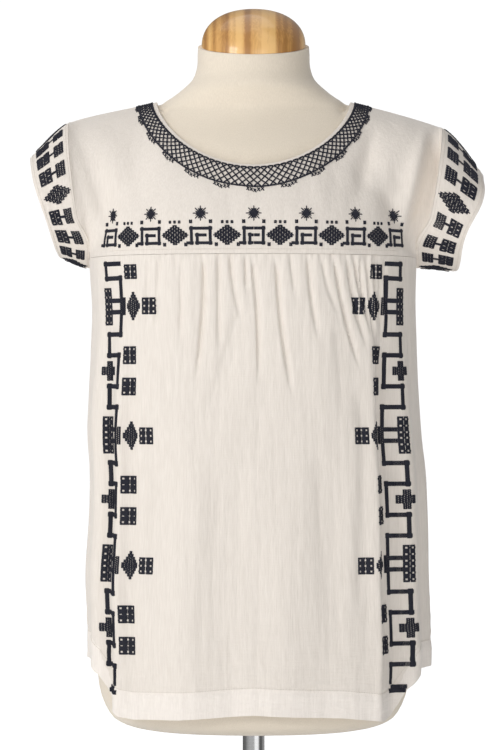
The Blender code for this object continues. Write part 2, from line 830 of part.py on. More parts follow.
def cuff_point(row, turn, facing):
    rise = (1 + math.cos(turn)) / 2
    wave = CUFF_WAVE[row["side"]] * math.sin(turn) * math.sin(2 * math.pi * rise)
    out = mix(row["cuff_low_out"], row["cuff_top_out"], rise) - wave
    height = mix(row["cuff_low"], row["cuff_top"], rise)
    return Vector((row["side"] * out, facing * CUFF_DEPTH * math.sin(turn), height))


def binding(finish):
    """The neckline's binding, a narrow rounded band on the cloth's own slope."""
    points, faces = [], []
    half, reach = BINDING_THICK / 2, BINDING_WIDTH
    edge = BINDING_EDGE
    outline = ((0, 0), (edge, half), (reach, half), (reach, -half), (edge, -half))
    size = len(outline)
    for step in range(BINDING_SEGMENTS):
        turn = 2 * math.pi * step / BINDING_SEGMENTS
        way = neck_direction(turn)
        normal = neck_normal(turn)
        start = neck_point(turn) - normal * (CLOTH / 2)
        points += [start + way * out + normal * up for out, up in outline]
        after = (step + 1) % BINDING_SEGMENTS
        for index in range(size):
            other = (index + 1) % size
            faces.append(
                (
                    step * size + index,
                    step * size + other,
                    after * size + other,
                    after * size + index,
                )
            )
    made = add_object("neck_binding", points, faces, finish)
    outward(made)


def neck_guide():
    """The underside of the binding, for the torso to stay under."""
    points, faces = [], []
    for step in range(BINDING_SEGMENTS):
        turn = 2 * math.pi * step / BINDING_SEGMENTS
        normal = neck_normal(turn)
        start = neck_point(turn) - normal * (CLOTH / 2 + BINDING_THICK / 2 + BINDING_ALLOWANCE)
        points += [start, start + neck_direction(turn) * BINDING_WIDTH]
        first, after = 2 * step, 2 * ((step + 1) % BINDING_SEGMENTS)
        faces.append([first, after, after + 1, first + 1])
    return points, faces


def outward(made):
    """Turns a closed object's faces outwards."""
    mesh = bmesh.new()
    mesh.from_mesh(made.data)
    bmesh.ops.recalc_face_normals(mesh, faces=mesh.faces)
    mesh.to_mesh(made.data)
    mesh.free()


def stacked(name, rings, finish):
    """A closed object through level or tilted rings, each end closed to its ring's centre."""
    points, faces = [], []
    size = len(rings[0])
    for ring in rings:
        points += ring
    for index in range(len(rings) - 1):
        low, high = index * size, (index + 1) * size
        for step in range(size):
            after = (step + 1) % size
            faces.append((low + step, low + after, high + after, high + step))
    for ring, start in ((rings[0], 0), (rings[-1], (len(rings) - 1) * size)):
        points.append(sum((Vector(point) for point in ring), Vector()) / size)
        centre = len(points) - 1
        for step in range(size):
            faces.append((start + step, start + (step + 1) % size, centre))
    made = add_object(name, points, faces, finish)
    outward(made)
    return made


def circle(radius, height, segments):
    return [
        Vector(
            (
                radius * math.cos(2 * math.pi * step / segments),
                radius * math.sin(2 * math.pi * step / segments),
                height,
            )
        )
        for step in range(segments)
    ]


def torso_ring(row):
    """One section of the torso, with the neck's rim tilted towards the front."""
    values = dict(zip(TORSO_COLUMNS, row))
    ring = []
    for step in range(TORSO_SEGMENTS):
        around = 2 * math.pi * step / TORSO_SEGMENTS
        quarter = math.asin(abs(math.cos(around)))
        depth = values["back"] if math.sin(around) > 0 else values["front"]
        across, along = oval(values["half_width"], depth, values["roundness"], quarter)
        x = math.copysign(across, math.cos(around))
        y = math.copysign(along, math.sin(around))
        tilt = NECK_TILT * y * smooth((values["height"] - NECK_TILT_FROM) / NECK_TILT_RISE)
        ring.append(Vector((x, y, values["height"] + tilt)))
    return ring


def fit_inside(point, cloth, clearance):
    """Moves a point of the torso in until it is clear of the cloth over it."""
    for _ in range(4):
        place, normal, _, _ = cloth.find_nearest(point)
        away = (place - point).dot(normal)
        aside = (place - point - normal * away).length
        if aside > UNDER_CLOTH or away >= clearance:
            break
        point = point + normal * (away - clearance)
    return point


def ease_faces(rings, cloth):
    """Moves rings in where the faces between their points come too near the cloth."""
    size = len(rings[0])
    for low, high in zip(rings, rings[1:]):
        for step in range(size):
            after = (step + 1) % size
            corners = ((low, step), (low, after), (high, after), (high, step))
            middle = sum((ring[index] for ring, index in corners), Vector()) / 4
            moved = fit_inside(middle, cloth, CLOTH_CLEARANCE) - middle
            for ring, index in corners:
                ring[index] = ring[index] + moved


def torso(cloth, finish):
    rings = [torso_ring(row) for row in TORSO_SECTIONS]
    under = [
        index
        for index, row in enumerate(TORSO_SECTIONS)
        if CLOTH_RESTS_FROM < row[0] < NECK_TILT_FROM
    ]
    for index in under:
        rings[index] = [fit_inside(point, cloth, CLOTH_CLEARANCE) for point in rings[index]]
    for _ in range(EASE_PASSES):
        ease_faces(rings[under[0] : under[-1] + 1], cloth)
    bore = POLE_RADIUS + POLE_CLEARANCE
    socket = [
        circle(bore, SOCKET_DEPTH, TORSO_SEGMENTS),
        circle(bore, 0.0, TORSO_SEGMENTS),
        circle(UNDERSIDE_RADIUS, 0.0, TORSO_SEGMENTS),
    ]
    stacked("form_torso", socket + rings, finish)


def neck_cap(finish):
    rings = []
    top = dict(zip(TORSO_COLUMNS, TORSO_SECTIONS[-1]))["height"]
    for step in range(CAP_RINGS + 1):
        angle = math.pi / 2 * step / (CAP_RINGS + CAP_TOP)
        radius, rise = oval(CAP_HEIGHT, CAP_RADIUS, CAP_ROUNDNESS, angle)[::-1]
        ring = circle(radius, top + SEAM + rise, CAP_SEGMENTS)
        rings.append([Vector((point.x, point.y, point.z + NECK_TILT * point.y)) for point in ring])
    stacked("form_neck_cap", rings, finish)


def stand(pole_finish, foot_finish):
    low = HUB_SOCKET_FLOOR + SEAM - TORSO_BOTTOM
    high = SOCKET_DEPTH - SEAM
    pole = [circle(POLE_RADIUS, height, ROUND_SEGMENTS) for height in (low, high)]
    stacked("stand_pole", pole, pole_finish)
    foot = [circle(radius, height - TORSO_BOTTOM, ROUND_SEGMENTS) for radius, height in FOOT_PROFILE]
    stacked("stand_base", foot, foot_finish)


def inner_tree(parts):
    """The inside of all the cloth, to fit the torso under."""
    points, faces = [], []
    for part_points, part_faces in parts:
        start = len(points)
        points += part_points
        faces += [[index + start for index in reversed(face)] for face in part_faces]
    return BVHTree.FromPolygons(points, faces)


def blouse(finish):
    """Every sewn piece, and the inside of the cloth."""
    binding_gap = BINDING_WIDTH + SEAM
    front_yoke = upper_grid(-1, binding_gap, SEAM / 2)
    front = body_grid(front_places(), FRONT_ROWS, -1, SEAM / 2, FRONT_FOLDS, FRONT_HEM, True)
    back_yoke = upper_grid(1, binding_gap, SEAM / 2)
    back = body_grid(back_places(), BACK_ROWS, 1, SEAM / 2, BACK_FOLDS, BACK_HEM, False)
    parts = [
        cloth_piece("front_yoke", [front_yoke], finish),
        cloth_piece("front_panel", [front], finish),
        cloth_piece("back_yoke", [back_yoke], finish),
        cloth_piece("back_panel", [back], finish),
        cloth_piece("sleeve_left", [sleeve_grid(-1)], finish, closed=True),
        cloth_piece("sleeve_right", [sleeve_grid(1)], finish, closed=True),
    ]
    binding(finish)
    return inner_tree(parts + [neck_guide()])


def clear_scene():
    for old in list(bpy.data.objects):
        bpy.data.objects.remove(old, do_unlink=True)


def build():
    clear_scene()
    cotton = material("cotton", (0.80, 0.75, 0.68), 0.85)
    jersey = material("jersey", (0.73, 0.66, 0.55), 0.9)
    wood = material("lacquered_wood", (0.58, 0.32, 0.12), 0.25)
    chrome = material("chrome", (0.75, 0.75, 0.76), 0.18, 1.0)
    foot = material("foot_metal", (0.72, 0.72, 0.73), 0.3, 1.0)
    cloth = blouse(cotton)
    torso(cloth, jersey)
    neck_cap(wood)
    stand(chrome, foot)


build()
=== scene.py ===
"""Looks for a short-sleeve blouse on a dress form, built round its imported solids.

The cloth repeats the solids' own sections, seams and folds on finer grids, in millimetres above
the torso's underside, and adds the finer creases, the turned edges and the sewing.
"""

import math
import random

import bmesh
import bpy
import numpy as np
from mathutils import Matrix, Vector, noise
from mathutils.bvhtree import BVHTree


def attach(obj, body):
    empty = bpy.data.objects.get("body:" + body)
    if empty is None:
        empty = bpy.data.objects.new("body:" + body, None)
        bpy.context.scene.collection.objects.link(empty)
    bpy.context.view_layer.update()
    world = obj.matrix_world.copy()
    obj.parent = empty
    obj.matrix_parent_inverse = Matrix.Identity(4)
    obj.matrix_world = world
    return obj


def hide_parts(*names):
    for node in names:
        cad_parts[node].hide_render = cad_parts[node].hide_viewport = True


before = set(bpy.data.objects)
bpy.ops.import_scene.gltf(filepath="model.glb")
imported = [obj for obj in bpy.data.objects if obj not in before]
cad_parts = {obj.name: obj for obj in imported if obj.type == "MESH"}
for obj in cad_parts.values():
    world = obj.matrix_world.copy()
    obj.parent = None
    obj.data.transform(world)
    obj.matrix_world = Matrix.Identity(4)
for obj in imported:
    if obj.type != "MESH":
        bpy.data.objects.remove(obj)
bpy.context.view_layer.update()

MM = 0.001
TORSO_BOTTOM = 170.0  # above the surface that the foot stands on
CLOTH = 1.3  # wall of the blouse
SEAM = 0.3  # gap between pieces that are sewn together
MERGE = 0.05  # points nearer than this are one
TOUCH = 0.01  # and nearer than this to a seam is on it
HALVINGS = 40  # steps of a search
THIRD = 1 / 3
CENTRE = Vector((0.0, 0.0, 420.0))  # a point inside every piece of cloth
SHARP_FROM = math.radians(38)
HANDS = {"left": -1, "right": 1}

# The blouse below the yoke, as level sections: height, left, right, front and back.
BODY_SECTIONS = (
    (0, 166, 172, 126, 122),
    (75, 165, 175, 126, 121),
    (105, 166, 174, 126, 120),
    (150, 168, 172, 125, 119),
    (205, 164, 171, 124, 118),
    (255, 163, 169, 123, 117),
    (290, 166, 165, 122, 116),
    (370, 162, 162, 122, 115),
    (415, 160, 161, 122, 114),
    (463, 164, 162, 121, 113),
    (540, 172, 170, 112, 106),
)
SECTION_EASE = 14.0  # reach over which a section is averaged
ROUNDNESS = 2.6  # exponent of the sections: 2 is an ellipse
GIRTH_HALF_WIDTH = 165.0  # the section on which places along the girth are measured
GIRTH_DEPTH = 121.0
YOKE_SEAM = 463.0
SIDE_FADE = 30.0  # the folds end this far from the side seams
FINE_SIDE_FADE = 25.0

# The neckline: half an ellipse at the front and a flatter one at the back.
NECK_HALF = 96.5
NECK_SIDE = 621.0
NECK_Y = 4.0
NECK_FRONT_DROP = 70.0
NECK_FRONT_REACH = 89.0
NECK_FRONT_POWER = 1.3  # over 1 makes the front drop rounder
NECK_CORNER = math.radians(50)  # turn of the neckline over the armhole's lower corner
NECK_FALL = 0.22  # slope of the cloth at the neckline's sides
NECK_FRONT_FALL = 0.75  # how much steeper it is at the front
NECK_BACK_FALL = 0.35
NECK_FALL_POWER = 1.2
NECK_BACK_DROP = 12.0
NECK_BACK_REACH = 66.0
NECK_FULLNESS = 0.8  # under 1 makes the neckline squarer than an ellipse, seen from the top
BINDING_WIDTH = 4.0
BINDING_THICK = 2.0
BINDING_EDGE = 0.6  # depth of its rounded edge
BINDING_ALLOWANCE = 0.4  # more room for the torso's flat faces under the binding

# The armholes and cuffs of each side, -1 is left.
ARMHOLE_BOTTOM = 455.0
CORNER_GAP = 1.0  # between the yoke and the front panel where they meet the sleeve
CORNER_SWING = 72.0  # degrees
ARMHOLE_REACH = 0.22  # length of the yoke's bend at the armhole, as a share of its run
ARMHOLE_DEPTH = 70.0
ARMHOLE_EASE = 40.0  # height over which the armhole leaves the body for the shoulder
ARMHOLE_STEP = 0.02  # turn over which the armhole's direction is measured
ARMHOLE_POWER = 0.8  # how soon the armhole leaves the side on its way up
WALL_OUT = (0.35, 0.65, 1.5)  # how far the wall faces outwards: at the top, more below, and how soon
WALL_UP = 0.93
WALL_ROUND = 0.85
SLEEVE_ROUND = 0.05  # how far the sleeve spreads as it leaves the armhole
SLEEVE_FALL = 0.08
SLEEVE_TOP_FALL = 0.5
SEAM_LEAN = 0.08  # how far the yoke leans out as it reaches its seam
CORNER_POWER = 6  # over how little of the seam its columns turn into the armhole's
REACH_POWER = 4
SIDE_COLUMNS = ("side", "top", "tip", "cuff_top", "cuff_top_out", "cuff_low", "cuff_low_out")
SIDES = (
    (-1, 600.0, 184.0, 565.0, 222.0, 466.0, 194.0),
    (1, 595.0, 187.0, 550.0, 227.0, 451.5, 203.0),
)
CUFF_DEPTH = 66.0
CUFF_WAVE = {-1: 1.0, 1: 5.0}  # how far the cuff's edge swings in and out
CUFF_FULLNESS = 0.4  # of the turned cuff, which is two layers
CUFF_TURN = (0.72, 0.77)  # shares of the way out over which it thickens
CUFF_EDGE = (0.97, 1.0)  # and over which it thins again
SLEEVE_CRINKLE = 0.8
SLEEVE_WAVES = (0.06, 0.05)  # of its crinkles, from front to back and upwards

# Gathers below the yoke seam: place along the seam, place of the lower end, length and depth.
GATHERS = (
    (-84, -88, 45, 1.4),
    (-74, -78, 60, 1.8),
    (-62, -66, 80, 1.6),
    (-50, -56, 135, 2.8),
    (-34, -36, 105, 2.4),
    (-21, -22, 70, 1.8),
    (-8, -9, 85, 2.0),
    (4, 4, 70, 1.8),
    (22, 24, 85, 2.2),
    (36, 41, 60, 1.6),
    (52, 63, 110, 2.6),
    (65, 80, 80, 2.0),
    (76, 96, 130, 2.8),
    (88, 106, 105, 2.2),
    (99, 114, 100, 2.2),
    (110, 123, 85, 2.0),
    (121, 131, 85, 1.8),
)
GATHER_SHARE = 0.36  # a crease's half width, as a share of the distance to its neighbours
GATHER_FOOT_SHARE = 0.6  # the same at its lower end
GATHER_SPREAD = 10.0  # least distance to a gather's neighbours
GATHER_PUFF = 1.2  # how far the cloth stands out between the gathers
GATHER_SOFT = 0.5  # share of the solid's gathers; the narrow creases stand for the rest
GATHER_EDGE = 12.0  # the puff goes this far past the outer gathers
GATHER_FADE = 20.0
GATHER_FALL = 130.0  # height over which the puff ends

# Long folds: place at the top and bottom, heights between which they run, half width and lift.
FOLD_RISE = 0.4  # share of its run over which a fold deepens
FRONT_FOLDS = (
    (117, 119, 420, 20, 9, 4.0),
    (138, 140, 430, 20, 13, -10.0),
    (163, 164, 400, 40, 10, 3.5),
    (188, 186, 360, 60, 12, -4.0),
    (212, 210, 380, 60, 11, 2.5),
    (-134, -136, 420, 20, 9, 4.5),
    (-153, -154, 440, 40, 10, -8.0),
    (-176, -174, 420, 60, 12, 3.0),
    (-200, -198, 330, 60, 13, -3.0),
    (-96, -104, 300, 0, 17, -2.5),
    (-60, -66, 330, 0, 20, 2.5),
    (-18, -24, 300, 0, 19, -2.5),
    (28, 22, 280, 0, 20, 2.0),
    (70, 66, 320, 0, 17, -2.5),
)
BACK_FOLDS = (
    (-205, -208, 430, 40, 14, -4.0),
    (-165, -168, 420, 0, 17, 4.5),
    (-118, -124, 440, 0, 20, -5.0),
    (-66, -74, 430, 0, 22, 5.0),
    (-14, -20, 400, 0, 20, -5.0),
    (38, 36, 430, 0, 21, 5.0),
    (86, 92, 440, 0, 19, -5.0),
    (132, 138, 420, 0, 18, 4.5),
    (176, 180, 430, 0, 15, -4.0),
    (210, 210, 400, 40, 12, 3.0),
)
# Folds of the yoke as seen from the front: their two ends, half width and lift.
DIAGONAL_START = 0.15  # share of its lift that a diagonal fold starts with
DIAGONAL_LOW_FADE = 30.0  # above the yoke seam
DIAGONAL_TOP_FADE = 20.0
DIAGONAL_TOP = 22.0  # below the neckline's sides
YOKE_FOLDS = (
    (172, 572, 142, 484, 12, -2.5),
    (146, 590, 112, 486, 14, 2.5),
    (118, 590, 92, 480, 10, -2.5),
    (-163, 565, -140, 480, 12, -3.0),
    (-140, 590, -118, 480, 14, 1.5),
)
# Height of the hem at shares of the way from the centre to each side.
FRONT_HEM = (
    (-1.0, 70),
    (-0.78, 68),
    (-0.7, 57),
    (-0.655, 40),
    (-0.61, 27),
    (-0.56, 21),
    (-0.5, 19),
    (-0.3, 21),
    (0.0, 26),
    (0.35, 22),
    (0.52, 17),
    (0.585, 20),
    (0.615, 29),
    (0.645, 44),
    (0.7, 56),
    (0.76, 61),
    (1.0, 62),
)
BACK_HEM = (
    (-1.0, 70),
    (-0.7, 68),
    (-0.5, 56),
    (0.0, 46),
    (0.5, 54),
    (0.7, 61),
    (1.0, 62),
)

# The torso of the form, as level sections: height, half width, front, back and roundness.
TORSO_SECTIONS = (
    (0, 118, 82, 76, 2.3),
    (4, 132, 95, 88, 2.3),
    (14, 144, 106, 98, 2.4),
    (40, 154, 113, 106, 2.4),
    (80, 155, 112, 109, 2.4),
    (130, 149, 106, 107, 2.3),
    (185, 136, 99, 99, 2.2),
    (240, 127, 95, 92, 2.2),
    (290, 129, 98, 90, 2.2),
    (340, 139, 106, 94, 2.3),
    (390, 149, 112, 99, 2.4),
    (430, 153, 112, 102, 2.4),
    (465, 151, 104, 99, 2.3),
    (495, 150, 97, 97, 2.2),
    (520, 150, 90, 94, 2.1),
    (545, 150, 82, 90, 2.05),
    (565, 151, 75, 85, 2.0),
    (580, 150, 65, 79, 1.95),
    (590, 147, 58, 74, 1.75),
    (598, 140, 53, 70, 1.65),
    (605, 127, 50, 66, 1.6),
    (611, 111, 49, 63, 1.6),
    (617, 96, 50, 61, 1.75),
    (624, 83, 52, 59, 1.9),
    (632, 72, 55, 58, 2.0),
    (643, 61, 54, 56, 2.0),
    (656, 56.5, 52.5, 54, 2.0),
    (668, 56, 52, 53, 2.0),
    (676, 55.5, 51.5, 52.5, 2.0),
)
TORSO_SEGMENTS = 144
SECTION_STEPS = 3
FIT_PASSES = 4
EASE_PASSES = 3
CLOTH_CLEARANCE = 0.8  # from the torso to the inside of the cloth that rests on it
CLOTH_RESTS_FROM = 440.0
UNDER_CLOTH = 7.0  # how far past the cloth's edge the torso still follows it
NECK_TILT = 0.28  # rise of the neck's rim for each millimetre towards the back
NECK_TILT_FROM = 632.0
NECK_TILT_RISE = 36.0
CAP_RADIUS = 52.0
CAP_HEIGHT = 37.0
CAP_ROUNDNESS = 2.25
CAP_RINGS = 24
CAP_SEGMENTS = 96
CAP_TOP = 0.35  # share of a ring's step that the flat top leaves out

UNDERSIDE_RADIUS = 52.0  # flat face round the pole's socket
POLE_RADIUS = 11.0
SOCKET_DEPTH = 60.0
POLE_CLEARANCE = 0.3
HUB_SOCKET_FLOOR = 6.0
FOOT_RADIUS = 140.0
# Radius and height of the pole's ends, over the surface that the foot stands on.
POLE_PROFILE = (
    (POLE_RADIUS, HUB_SOCKET_FLOOR + SEAM),
    (POLE_RADIUS, TORSO_BOTTOM + SOCKET_DEPTH - SEAM),
)
# Radius and height of each corner of the foot, from its underside to its socket.
FOOT_PROFILE = (
    (FOOT_RADIUS - 3, 0),
    (FOOT_RADIUS, 3),
    (FOOT_RADIUS, 6),
    (FOOT_RADIUS - 4, 9),
    (60, 12),
    (30, 15),
    (24, 20),
    (22, 34),
    (19, 37),
    (POLE_RADIUS + POLE_CLEARANCE, 37),
    (POLE_RADIUS + POLE_CLEARANCE, HUB_SOCKET_FLOOR),
)
ROUND_SEGMENTS = 96

# Rows and columns of the panels.
ARMHOLE_STEPS = 36
SEAM_STEPS = 150
CORNER_STEPS = 9
YOKE_ROWS = 64
YOKE_PASSES = 160  # smoothing passes inside the yokes' edges
YOKE_KEEP = (9, 4)  # rows and columns over which the smoothing eases in
YOKE_FADE = (6, 3, 3)  # rows at the top, at the seam, and columns, over which creases fade
YOKE_CRINKLE = 1.1
YOKE_WAVES = (0.05, 0.03, 0.025)  # of its crinkles, across, from front to back and upwards
PANEL_ROWS = 120
GATHER_SPACING = 1.05
GATHERED = (-112.0, 140.0)  # where the front panel's columns are close together
HEM_DEPTH = 26.0
HEM_FULLNESS = 0.6
HEM_STEP = 1.5  # height over which the turned hem thickens
HEM_GROOVE = 1.4  # half width of the groove along its stitches
HEM_CRINKLES = 80.0  # height that the level crinkles reach
HEM_CRINKLE_FADES = (40.0, 6.0)  # at their top and at the edge
HEM_CRINKLE = 0.8
HEM_WAVES = (0.03, 0.16)  # of these crinkles, across and upwards
SIDE_SPACING = 1.9
SLEEVE_ROWS = 24
BINDING_SEGMENTS = 220

# Narrow creases: places of the top and foot, sway, distances below the yoke seam between which
# they run, depth and half width.
CREASE_DEPTH = 1.4
CREASE_SLOPE = 2.8  # how much wider a crease is on its right
CREASE_REACH = 3.5  # half widths past which it is flat
CREASE_ENDS = (0.12, 0.35)  # shares of its run over which it deepens and ends
FRONT_CREASES = (
    (128, 121, 0, 60, 480, 5, 3.2),
    (-126, -124, 0, 80, 470, 2.2, 5.0),
    (-104, -110, 0, 2, 60, 1.2, 1.4),
    (-93, -100, 0, 2, 80, 1.3, 1.5),
    (-71, -73, 0, 2, 95, 1.3, 1.5),
    (-48, -57, 1, 2, 130, 2.5, 1.4),
    (-34, -34, -1, 2, 100, 1.7, 1.4),
    (-23, -12, -2, 2, 66, 1.7, 1.5),
    (-12, -46, 0, 50, 160, 1.6, 6),
    (-8, -8, 0, 2, 38, 1.6, 1.1),
    (-2, 4, 2, 2, 132, 2.3, 1.4),
    (21, 38, -3, 2, 142, 2.5, 1.4),
    (35, 39, 0, 2, 40, 1.2, 1.1),
    (52, 64, -2, 2, 86, 2, 1.5),
    (66, 84, -3, 4, 60, 1.3, 1.2),
    (78, 107, -3, 2, 116, 2.5, 1.4),
    (80, 86, 2, 66, 160, 1.3, 5),
    (91, 114, -3, 2, 92, 2.2, 1.4),
    (99, 115, -2, 2, 64, 2, 1.1),
    (105, 119, -2, 2, 82, 2, 1.1),
    (112, 124, -1, 2, 96, 1.8, 1.1),
    (119, 128, 0, 2, 76, 1.7, 1.1),
    (126, 132, 0, 2, 90, 1.6, 1.1),
    (133, 136, 0, 2, 60, 1.4, 1.1),
    (60, 74, 0, 180, 400, 1.2, 9),
    (-30, -52, 0, 190, 420, 1.2, 10),
    (10, 2, 0, 230, 430, 0.9, 8),
    (106, 96, 2, 120, 380, 1.6, 7),
    (-98, -92, -2, 150, 400, 1.2, 7),
)
BACK_CREASES = (
    (-150, -156, 1, 2, 130, 1.4, 4.0),
    (-96, -108, 2, 2, 190, 1.6, 4.5),
    (-44, -50, -2, 2, 120, 1.2, 4.0),
    (12, 4, 2, 2, 210, 1.6, 5.0),
    (66, 74, 2, 2, 150, 1.4, 4.0),
    (110, 124, -2, 2, 180, 1.5, 4.5),
    (160, 166, 1, 2, 120, 1.3, 4.0),
    (-120, -100, 0, 170, 400, 1.3, 8.0),
    (-20, -34, 0, 200, 400, 1.2, 9.0),
    (90, 72, 0, 180, 400, 1.3, 8.0),
)

# Short tucks between the gathers: limits of their length, depth and half width.
TUCK_LIMITS = ((7, 34), (0.35, 0.95), (1.3, 2.6))
TUCK_SPREAD = (0.1, 0.9)  # where in its own share of the seam a tuck can be
TUCK_REACH = 3.0  # half widths past which it is flat
# Waves of the gauze's crinkles: how often they come across and upwards, shift of seed, depth.
GAUZE_WAVES = ((0.055, 0.011, 0.0, 0.8), (0.17, 0.022, 7.0, 0.42))
GAUZE_SEAM_FADE = 12.0  # distance below the yoke seam over which they begin

GAUZE_TONES = ((0.785, 0.72, 0.65), (0.855, 0.79, 0.72))
HEM_TONES = ((0.865, 0.80, 0.735), (0.935, 0.87, 0.805))
# Heights in metres between which the level crinkles fade, and how strong they are at each.
LEVEL_CRINKLES = {"From Min": 0.20, "From Max": 0.30, "To Min": 1.0, "To Max": 0.0}
DARK_TONES = ((0.011, 0.012, 0.02), (0.025, 0.026, 0.04))
PALE_TONES = ((0.68, 0.62, 0.55), (0.77, 0.71, 0.64))
JERSEY_TONES = ((0.25, (0.78, 0.69, 0.565)), (0.75, (0.86, 0.765, 0.635)))
WOOD_TONES = ((0.45, (0.43, 0.20, 0.055)), (0.6, (0.67, 0.35, 0.105)), (0.8, (0.88, 0.53, 0.19)))
WHITE = (1.0, 1.0, 1.0, 1.0)

# Plain stitching in cotton.
PLAIN_STITCH = 2.6
PLAIN_THREAD = 0.24
TOPSTITCH = 4.6  # above the yoke's seam
HEM_STITCH_REACH = 225.0
YOKE_STITCH_REACH = 150.0
CUFF_STITCHES = (0.06, 0.93)  # shares of the way out
CUFF_STITCH_END = 4.0  # from the sleeve's top and bottom
HEM_STITCH_STEPS = 60
BACK_STITCH = 0.96  # share of its step that a stitch covers

# Creases of the yoke: two ends, half width on the left and on the right, and lift.
YOKE_CREASE_ENDS = (-0.3, 1.2)  # where they end, as shares of the way between their two ends
YOKE_CREASE_SWELL = 0.5
YOKE_CREASES = (
    (184, 572, 160, 488, 12, 5, -15.5),
    (168, 578, 144, 488, 9, 9, 6.0),
    (118, 584, 104, 524, 8, 5, -2.2),
    (80, 562, 76, 500, 8, 10, -1.3),
    (146, 560, 130, 500, 9, 8, -1.2),
    (-167, 570, -141, 488, 5, 12, -1.6),
    (-120, 566, -108, 506, 9, 10, -0.9),
)

# The sewing, in millimetres: thread radius, distance of stitches side by side, and lengths.
THREAD = 0.55
PITCH = 0.9
FILL_STITCH = 4.6
STITCH_SIDES = 5
STITCH_PROFILE = ((0.0, -0.9), (0.14, 0.55), (0.5, 0.9), (0.86, 0.55), (1.0, -0.9))
SHORTEST_STITCH = 0.2
FILL_GAP = 0.1  # at each end of a filling stitch
LOZENGE_STEPS = 5
CROSS_ARM = 0.4  # width of a cross's arms, as a share of its size
STAR_SHORT = 0.72  # length of a star's short arms
DOT_SHARE = 0.27
CAST = 45.0  # how far over the cloth the search for it starts
SLEEVE_CAST = 40.0  # the same on a sleeve
TRELLIS = (4.9, 21.5)  # distances of its edges from the neckline
TRELLIS_CELLS = 3
TRELLIS_PITCH = 6.8
TRELLIS_THREAD = (0.72, 0.85)  # radius of the crossing threads and of the edge lines
TRELLIS_FRONT = 1.5  # how wide it is at the front, as a share of its own width
TRELLIS_BACK = 0.95
TRELLIS_SHOULDER = 0.84
TRELLIS_RADIUS = 105.0
NECK_STEPS = 2000  # in which the trellis's length is measured
TUFT_PITCH = 30.0
TUFT_RISES = ((0.0, 3.4), (0.4, 3.0))  # where its two crossing stitches start and end
TUFT = ((-6.0, 0.2, 2.4), (-3.0, 0.6, 2.4), (0.0, 1.4, 2.4), (3.0, 0.6, 2.4), (6.0, 0.2, 2.4))
YOKE_BORDER = 481.0
YOKE_PERIOD = 50.3
# A square key: a line that turns in on itself, by its corners.
KEY = (
    (-12, -7.5),
    (-9, -7.5),
    (-9, 6.5),
    (9, 6.5),
    (9, -7.5),
    (-3.5, -7.5),
    (-3.5, 0.0),
    (3.5, 0.0),
)
KEY_WIDTH = 3.1
# What stands between the keys and over them: kind, place and height from there, and sizes.
BETWEEN_KEYS = (
    ("lozenge", 0, 0, 27, 19),
    *(("block", out, 12.6, 2.8, 2.8) for out in (-4.6, 0.0, 4.6)),
    *(("block", out, -9.0, 3.4, 3.4) for out in (-10.5, 10.5)),
)
OVER_KEYS = (
    ("star", 0, 21, 15),
    ("lozenge", 0, 21, 10, 9, 3),
    *(("block", out, 13, 3.4, 3.4) for out in (-9.5, 9.5)),
)
KEYS = 3  # on each side of the middle one
BAND_MIDDLE = 134.0
BAND_LOW = 44.0
BAND_TOP = 455.0
BAND_LEVELS = (414, 290, 166, 42)
# Kind, distance outwards from the band's middle, height over the level, and sizes.
BAND_MOTIFS = (
    ("lozenge", -12, 0, 17, 27),
    ("dotted", -29, 0, 15, 16, 3, 3),
    ("block", 1.0, 0, 8, 17),
    ("dotted", 23, 0, 12, 36, 2, 6),
    ("dotted", -9, -47, 15, 17, 3, 3),
    ("dotted", -9, -77, 15, 17, 3, 3),
    ("cross", 22, -62, 19),
)
BAND_HEAD = ("dotted", -10, 33, 15, 14, 3, 3)
# Width and corners of the thick lines.
BAND_LINES = (
    (4.6, ((3, 11), (3, 27), (23, 27), (23, 47), (4, 47), (4, 62))),
    (4.6, ((3, -11), (3, -27), (23, -27), (23, -47), (4, -47), (4, -62))),
    (4.6, ((6, 5.5), (16, 5.5))),
    (4.6, ((6, -5.5), (16, -5.5))),
)
# How bright the studio is by direction: 0 and 1 are left, 0.25 front, 0.5 right, 0.75 behind.
ROOM_TONES = (
    (0.0, 0.75),
    (0.12, 0.5),
    (0.2, 0.16),
    (0.3, 0.2),
    (0.33, 0.5),
    (0.36, 0.12),
    (0.5, 0.2),
    (0.62, 0.2),
    (0.75, 0.5),
    (0.9, 0.45),
    (1.0, 0.75),
)
# The same as seen in what is bright and smooth.
SHINE_TONES = (
    (0.0, 0.12),
    (0.045, 0.3),
    (0.15, 0.5),
    (0.26, 0.5),
    (0.3, 1.3),
    (0.38, 1.3),
    (0.43, 0.08),
    (0.52, 0.1),
    (0.57, 0.4),
    (0.73, 0.3),
    (0.78, 0.1),
    (1.0, 0.12),
)

# Thread work of the sleeves: half its length round them, its width, and the pitch of its motifs.
SLEEVE_HALF_ROUND = 168.0
SLEEVE_OUT = 38.0
SLEEVE_PITCH = 18.5
SLEEVE_BARE = 8.0  # left plain along the sleeve's lowest line
SLEEVE_LOZENGE = (("lozenge", 17.5, 0, 31, 15, 4),)
SLEEVE_BLOCKS = (("dotted", 25.5, 0, 13, 13.5, 2, 3), ("block", 10, 0, 10, 12))
SLEEVE_BAR = (15, 19, 2.2)  # its two ends and its width

CAMERA_LENS = 110.4
CAMERA_PLACE = (-0.0036, -2.3, 0.518)
